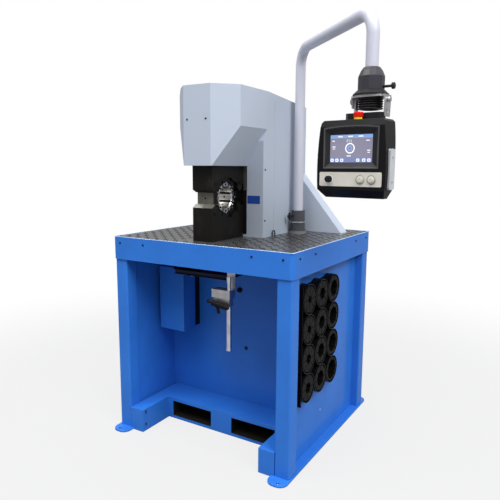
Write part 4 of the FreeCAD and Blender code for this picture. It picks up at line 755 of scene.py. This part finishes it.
def makeSeams():
    bm = bmesh.new()
    y0, y1, z0, z1 = seams["fold"]
    slab(bm, [(y0, z0), (y1, z0), (y1, z1), (y0, z1)], -0.1, seams["foldThick"])
    makePiece("columnFold", bm, [greyPaint], "bench", facing("right", seams["side"]), 0.5)
    x, y, half, high, r = seams["hook"]
    bm = bmesh.new()
    path = [(y - half, 0.0), (y - half, high - half)]
    for k in range(1, 11):
        a = math.pi * k / 10
        path.append((y - half * math.cos(a), high - half + half * math.sin(a)))
    path += [(y + half, 0.0)]
    rings = []
    for k, (u, v) in enumerate(path):
        before, after = path[max(k - 1, 0)], path[min(k + 1, len(path) - 1)]
        along = Vector((after[0] - before[0], after[1] - before[1])).normalized()
        side = Vector((-along.y, along.x))
        turns = [math.pi / 5 * j for j in range(10)]
        rings.append([bm.verts.new((x + r * math.cos(a), u + side.x * r * math.sin(a),
                                    seams["table"] + v + side.y * r * math.sin(a))) for a in turns])
    for low, high in zip(rings, rings[1:]):
        for j in range(10):
            bm.faces.new((low[j], low[(j + 1) % 10], high[(j + 1) % 10], high[j]))
    bm.faces.new(rings[0][::-1])
    bm.faces.new(rings[-1])
    makePiece("footHook", bm, [jointBlack], "bench", Matrix.Identity(4))


# small fittings seen through the bench's open front, and a screw on its right side panel
under = {
    "kneeFace": -82.0,
    "gland": (8.5, 645.0),
    "grommet": (44.3, 370.0),
    "boxFace": -221.0,
    "boxGland": (-150.0, 705.0),
    "sideFace": -388.0,
    "sideBolts": ((-173.0, 645.0), (-182.0, 490.0)),
    "sideHead": (5.5, 3.6),      # radius and height
    "armFace": 306.0,
    "armPlugs": ((-393.5, 31.0), (-393.5, 91.0)),
    "plugHalf": (4.8, 7.3),
    "plugDepth": (-3.5, 0.8),
    "panelFace": 407.0,
    "panelScrew": (-45.0, 142.0),
    "panelHead": (5.0, 2.6),
}


def makeUnder():
    knee = facing("front", under["kneeFace"])
    bm = bmesh.new()
    x, y = under["gland"]
    turned(bm, [(0, -0.5), (11, -0.5), (11, 5), (9, 7), (9, 15), (5.5, 18), (5.5, 12), (0, 12)], 6, (x, y))
    turned(bm, [(0, -0.5), (13, -0.5), (13, 2.5), (0, 2.5)], 32, (x, y))
    x, y = under["grommet"]
    turned(bm, [(0, -0.4), (9, -0.4), (9, 2.0), (7.5, 3.0), (4, 3.0), (3.2, 1.0), (0, 1.0)], 32, (x, y))
    makePiece("kneeFittings", bm, [jointBlack], "bench", knee, 0.3)
    bm = bmesh.new()
    x, y = under["boxGland"]
    turned(bm, [(0, -0.5), (10, -0.5), (10, 6), (8, 8), (8, 20), (5, 22), (5, 14), (0, 14)], 6, (x, y))
    makePiece("boxGland", bm, [zincPlate], "bench", facing("right", under["boxFace"]), 0.3)
    bm = bmesh.new()
    for x, y in under["sideBolts"]:
        screwHead(bm, x, y, *under["sideHead"])
    makePiece("sideBolts", bm, [screwBlack], "bench", facing("right", under["sideFace"]))
    wide, high = under["plugHalf"]
    for name, axis, side in (("armPlugsLeft", "right", 1), ("armPlugsRight", "left", -1)):
        level = -side * under["armFace"]
        bm = bmesh.new()
        for y, z in under["armPlugs"]:
            outline = roundedBox(side * y - wide, side * y + wide, z - high, z + high, 2.5)
            slab(bm, outline, *under["plugDepth"])
        makePiece(name, bm, [softBlack], "bench", facing(axis, level), 0.3)
    bm = bmesh.new()
    screwHead(bm, *under["panelScrew"], *under["panelHead"])
    makePiece("panelScrew", bm, [zincPlate], "bench", facing("right", under["panelFace"]))


# ribbed rubber sleeve on the bar of the stop's lever
lever = {"end": (60.5, -404.5, 668.5), "lean": (0.985, 0.0, -0.173), "from": 20.0, "to": 93.0, "radius": 12.4,
         "tip": 9.6, "bore": 6.0, "step": 2.0, "rib": 6.0, "groove": 1.1}


def makeLever():
    bm = bmesh.new()
    start, stop, rib = lever["from"], lever["to"], lever["rib"]
    count = int((stop - start) / rib)
    profile = [(lever["bore"], start), (lever["radius"] - lever["step"], start)]
    for k in range(count):
        r = lever["radius"] + (lever["tip"] - lever["radius"]) * max(0.0, 2 * k / count - 1)
        s = start + k * rib
        deep = r - lever["groove"]
        profile += [(r, s + 1.0), (r, s + rib - 1.2), (deep, s + rib - 0.9), (deep, s + rib - 0.1)]
    profile += [(lever["tip"] - lever["step"], stop), (lever["bore"], stop)]
    turned(bm, profile, 28)
    turn = Vector(lever["lean"]).to_track_quat("Z", "Y").to_matrix().to_4x4()
    turn.translation = lever["end"]
    makePiece("leverSleeve", bm, [gripRubberAndTreadShade], "stop_lever", turn, 0.2)


def makePushMarks():
    bm = bmesh.new()
    for x in keys["pushes"]:
        hoop(bm, *keys["bezelRing"], -0.1, 0.2, 40, (x, keys["level"]))
    makePiece("bezelRings", bm, [jointBlack], "panel", onDisplay(keys["bezelFace"]), smooth=False)
    for x, body in zip(keys["pushes"], ("push_left", "push_right")):
        bm = bmesh.new()
        outer, inner = keys["sign"]
        corners = [(math.radians(90 + 120 * k)) for k in range(3)]
        for a, b in zip(corners, corners[1:] + corners[:1]):
            ends = [(outer, a), (outer, b), (inner, b), (inner, a)]
            slab(bm, [(x + r * math.cos(c), keys["level"] + r * math.sin(c)) for r, c in ends], -0.6, 0.15)
        makePiece(body + "_sign", bm, [markGrey], body, onDisplay(keys["pushFace"]), smooth=False)


makeTread()
makeHighlightBead()
makeDisplay()
makeKeyMarks()
makePushMarks()
makeTrim()
makeJaws()
makeSeams()
makeUnder()
makeLever()
print("small pieces made")


# floor, light and camera
studio = {
    "walls": 0.12,
    "ceiling": 0.75,
    "mirrored": 0.35,                # share of the white background in a reflection
    "floor": (0.28, 0.28, 0.29),
    "near": 1.3,
    "far": 3.2,
    "nearGlow": 0.80,                # share of plain white in the near floor, the rest takes the shadow
    # power, size, place and aim of each lamp
    "lamps": {
        "keyLamp": (440.0, (4.2, 3.6), (4.9, -2.2, 5.9), (0.1, 0.0, 0.9)),
        "fillLamp": (315.0, (4.2, 3.8), (-1.4, -3.5, 7.1), (0.0, 0.0, 0.9)),
        "topLamp": (80.0, (4.5, 4.5), (0.4, -0.8, 7.0), (0.1, -0.1, 0.9)),
    },
}


def makeRoom():
    world = bpy.data.worlds.new("softRoom")
    bpy.context.scene.world = world
    world.use_nodes = True
    maker = Maker(world.node_tree)
    towards = maker.node("ShaderNodeTexCoord")
    height = maker.node("ShaderNodeSeparateXYZ", None, {0: towards}, 2)
    level = maker.node("ShaderNodeMapRange", {"interpolation_type": "SMOOTHSTEP"},
                       {"Value": height, "From Min": 0.05, "From Max": 0.75, "To Min": studio["walls"],
                        "To Max": studio["ceiling"]})
    light = maker.node("ShaderNodeBackground", None, {"Color": (1, 1, 1, 1), "Strength": level})
    seen = maker.node("ShaderNodeBackground", None, {"Color": (1, 1, 1, 1), "Strength": 1.0})
    both = maker.node("ShaderNodeMixShader", None, {0: maker.rays(studio["mirrored"]), 1: light, 2: seen})
    maker.feed(world.node_tree.nodes["World Output"].inputs[0], both)


def makeFloor():
    # the floor shows the shadow near the bench and fades to plain white further out
    mesh = bpy.data.meshes.new("studioFloor")
    half = 8.0
    mesh.from_pydata([(-half, -half, 0), (half, -half, 0), (half, half, 0), (-half, half, 0)], [], [(0, 1, 2, 3)])
    floor = bpy.data.objects.new("studioFloor", mesh)
    bpy.context.scene.collection.objects.link(floor)
    f = Finish("paleFloor", studio["floor"], Roughness=0.8)
    f.set(Base_Color=f.mix(f.noise(3.0), f.shade(0.985), f.colour))
    x, y = f.axes()[:2]
    square = x * x + y * y
    away = f.between(square.calc("SQRT", square), studio["near"], studio["far"], studio["nearGlow"], 1.0)
    glow = f.node("ShaderNodeEmission", None, {"Color": (1, 1, 1, 1), "Strength": 1.0})
    both = f.node("ShaderNodeMixShader", None, {0: f.rays(0.0) * away, 1: Wire(f, f.shader.outputs[0]), 2: glow})
    f.feed(f.tree.nodes["Material Output"].inputs[0], both)
    mesh.materials.append(f.material)


def softLamp(name, power, width, at, towards):
    lamp = bpy.data.lights.new(name, "AREA")
    lamp.shape = "RECTANGLE"
    lamp.size = width[0]
    lamp.size_y = width[1]
    lamp.energy = power
    obj = bpy.data.objects.new(name, lamp)
    bpy.context.scene.collection.objects.link(obj)
    obj.location = at
    obj.rotation_mode = "QUATERNION"
    obj.rotation_quaternion = (Vector(towards) - Vector(at)).to_track_quat("-Z", "Y")


# the view of the photograph: place in metres, heading to the left of straight back, tilt and roll in degrees
view = {"lens": 37.857, "place": (1.28225, -2.09875, 1.20297), "heading": 31.1856, "tilt": -8.8191, "roll": 0.3226}


def makeCamera():
    data = bpy.data.cameras.new("photoCamera")
    data.sensor_width = 36.0
    data.lens = view["lens"]
    data.clip_start = 0.05
    data.clip_end = 60.0
    camera = bpy.data.objects.new("photoCamera", data)
    bpy.context.scene.collection.objects.link(camera)
    turn = Matrix.Rotation(math.radians(view["heading"]), 4, "Z")
    turn = turn @ Matrix.Rotation(math.radians(90 + view["tilt"]), 4, "X")
    turn = turn @ Matrix.Rotation(math.radians(view["roll"]), 4, "Z")
    turn.translation = view["place"]
    camera.matrix_world = turn
    bpy.context.scene.camera = camera


makeRoom()
makeFloor()
for lampName, values in studio["lamps"].items():
    softLamp(lampName, *values)
makeCamera()
bpy.context.scene.view_settings.view_transform = "Standard"
print("studio made")
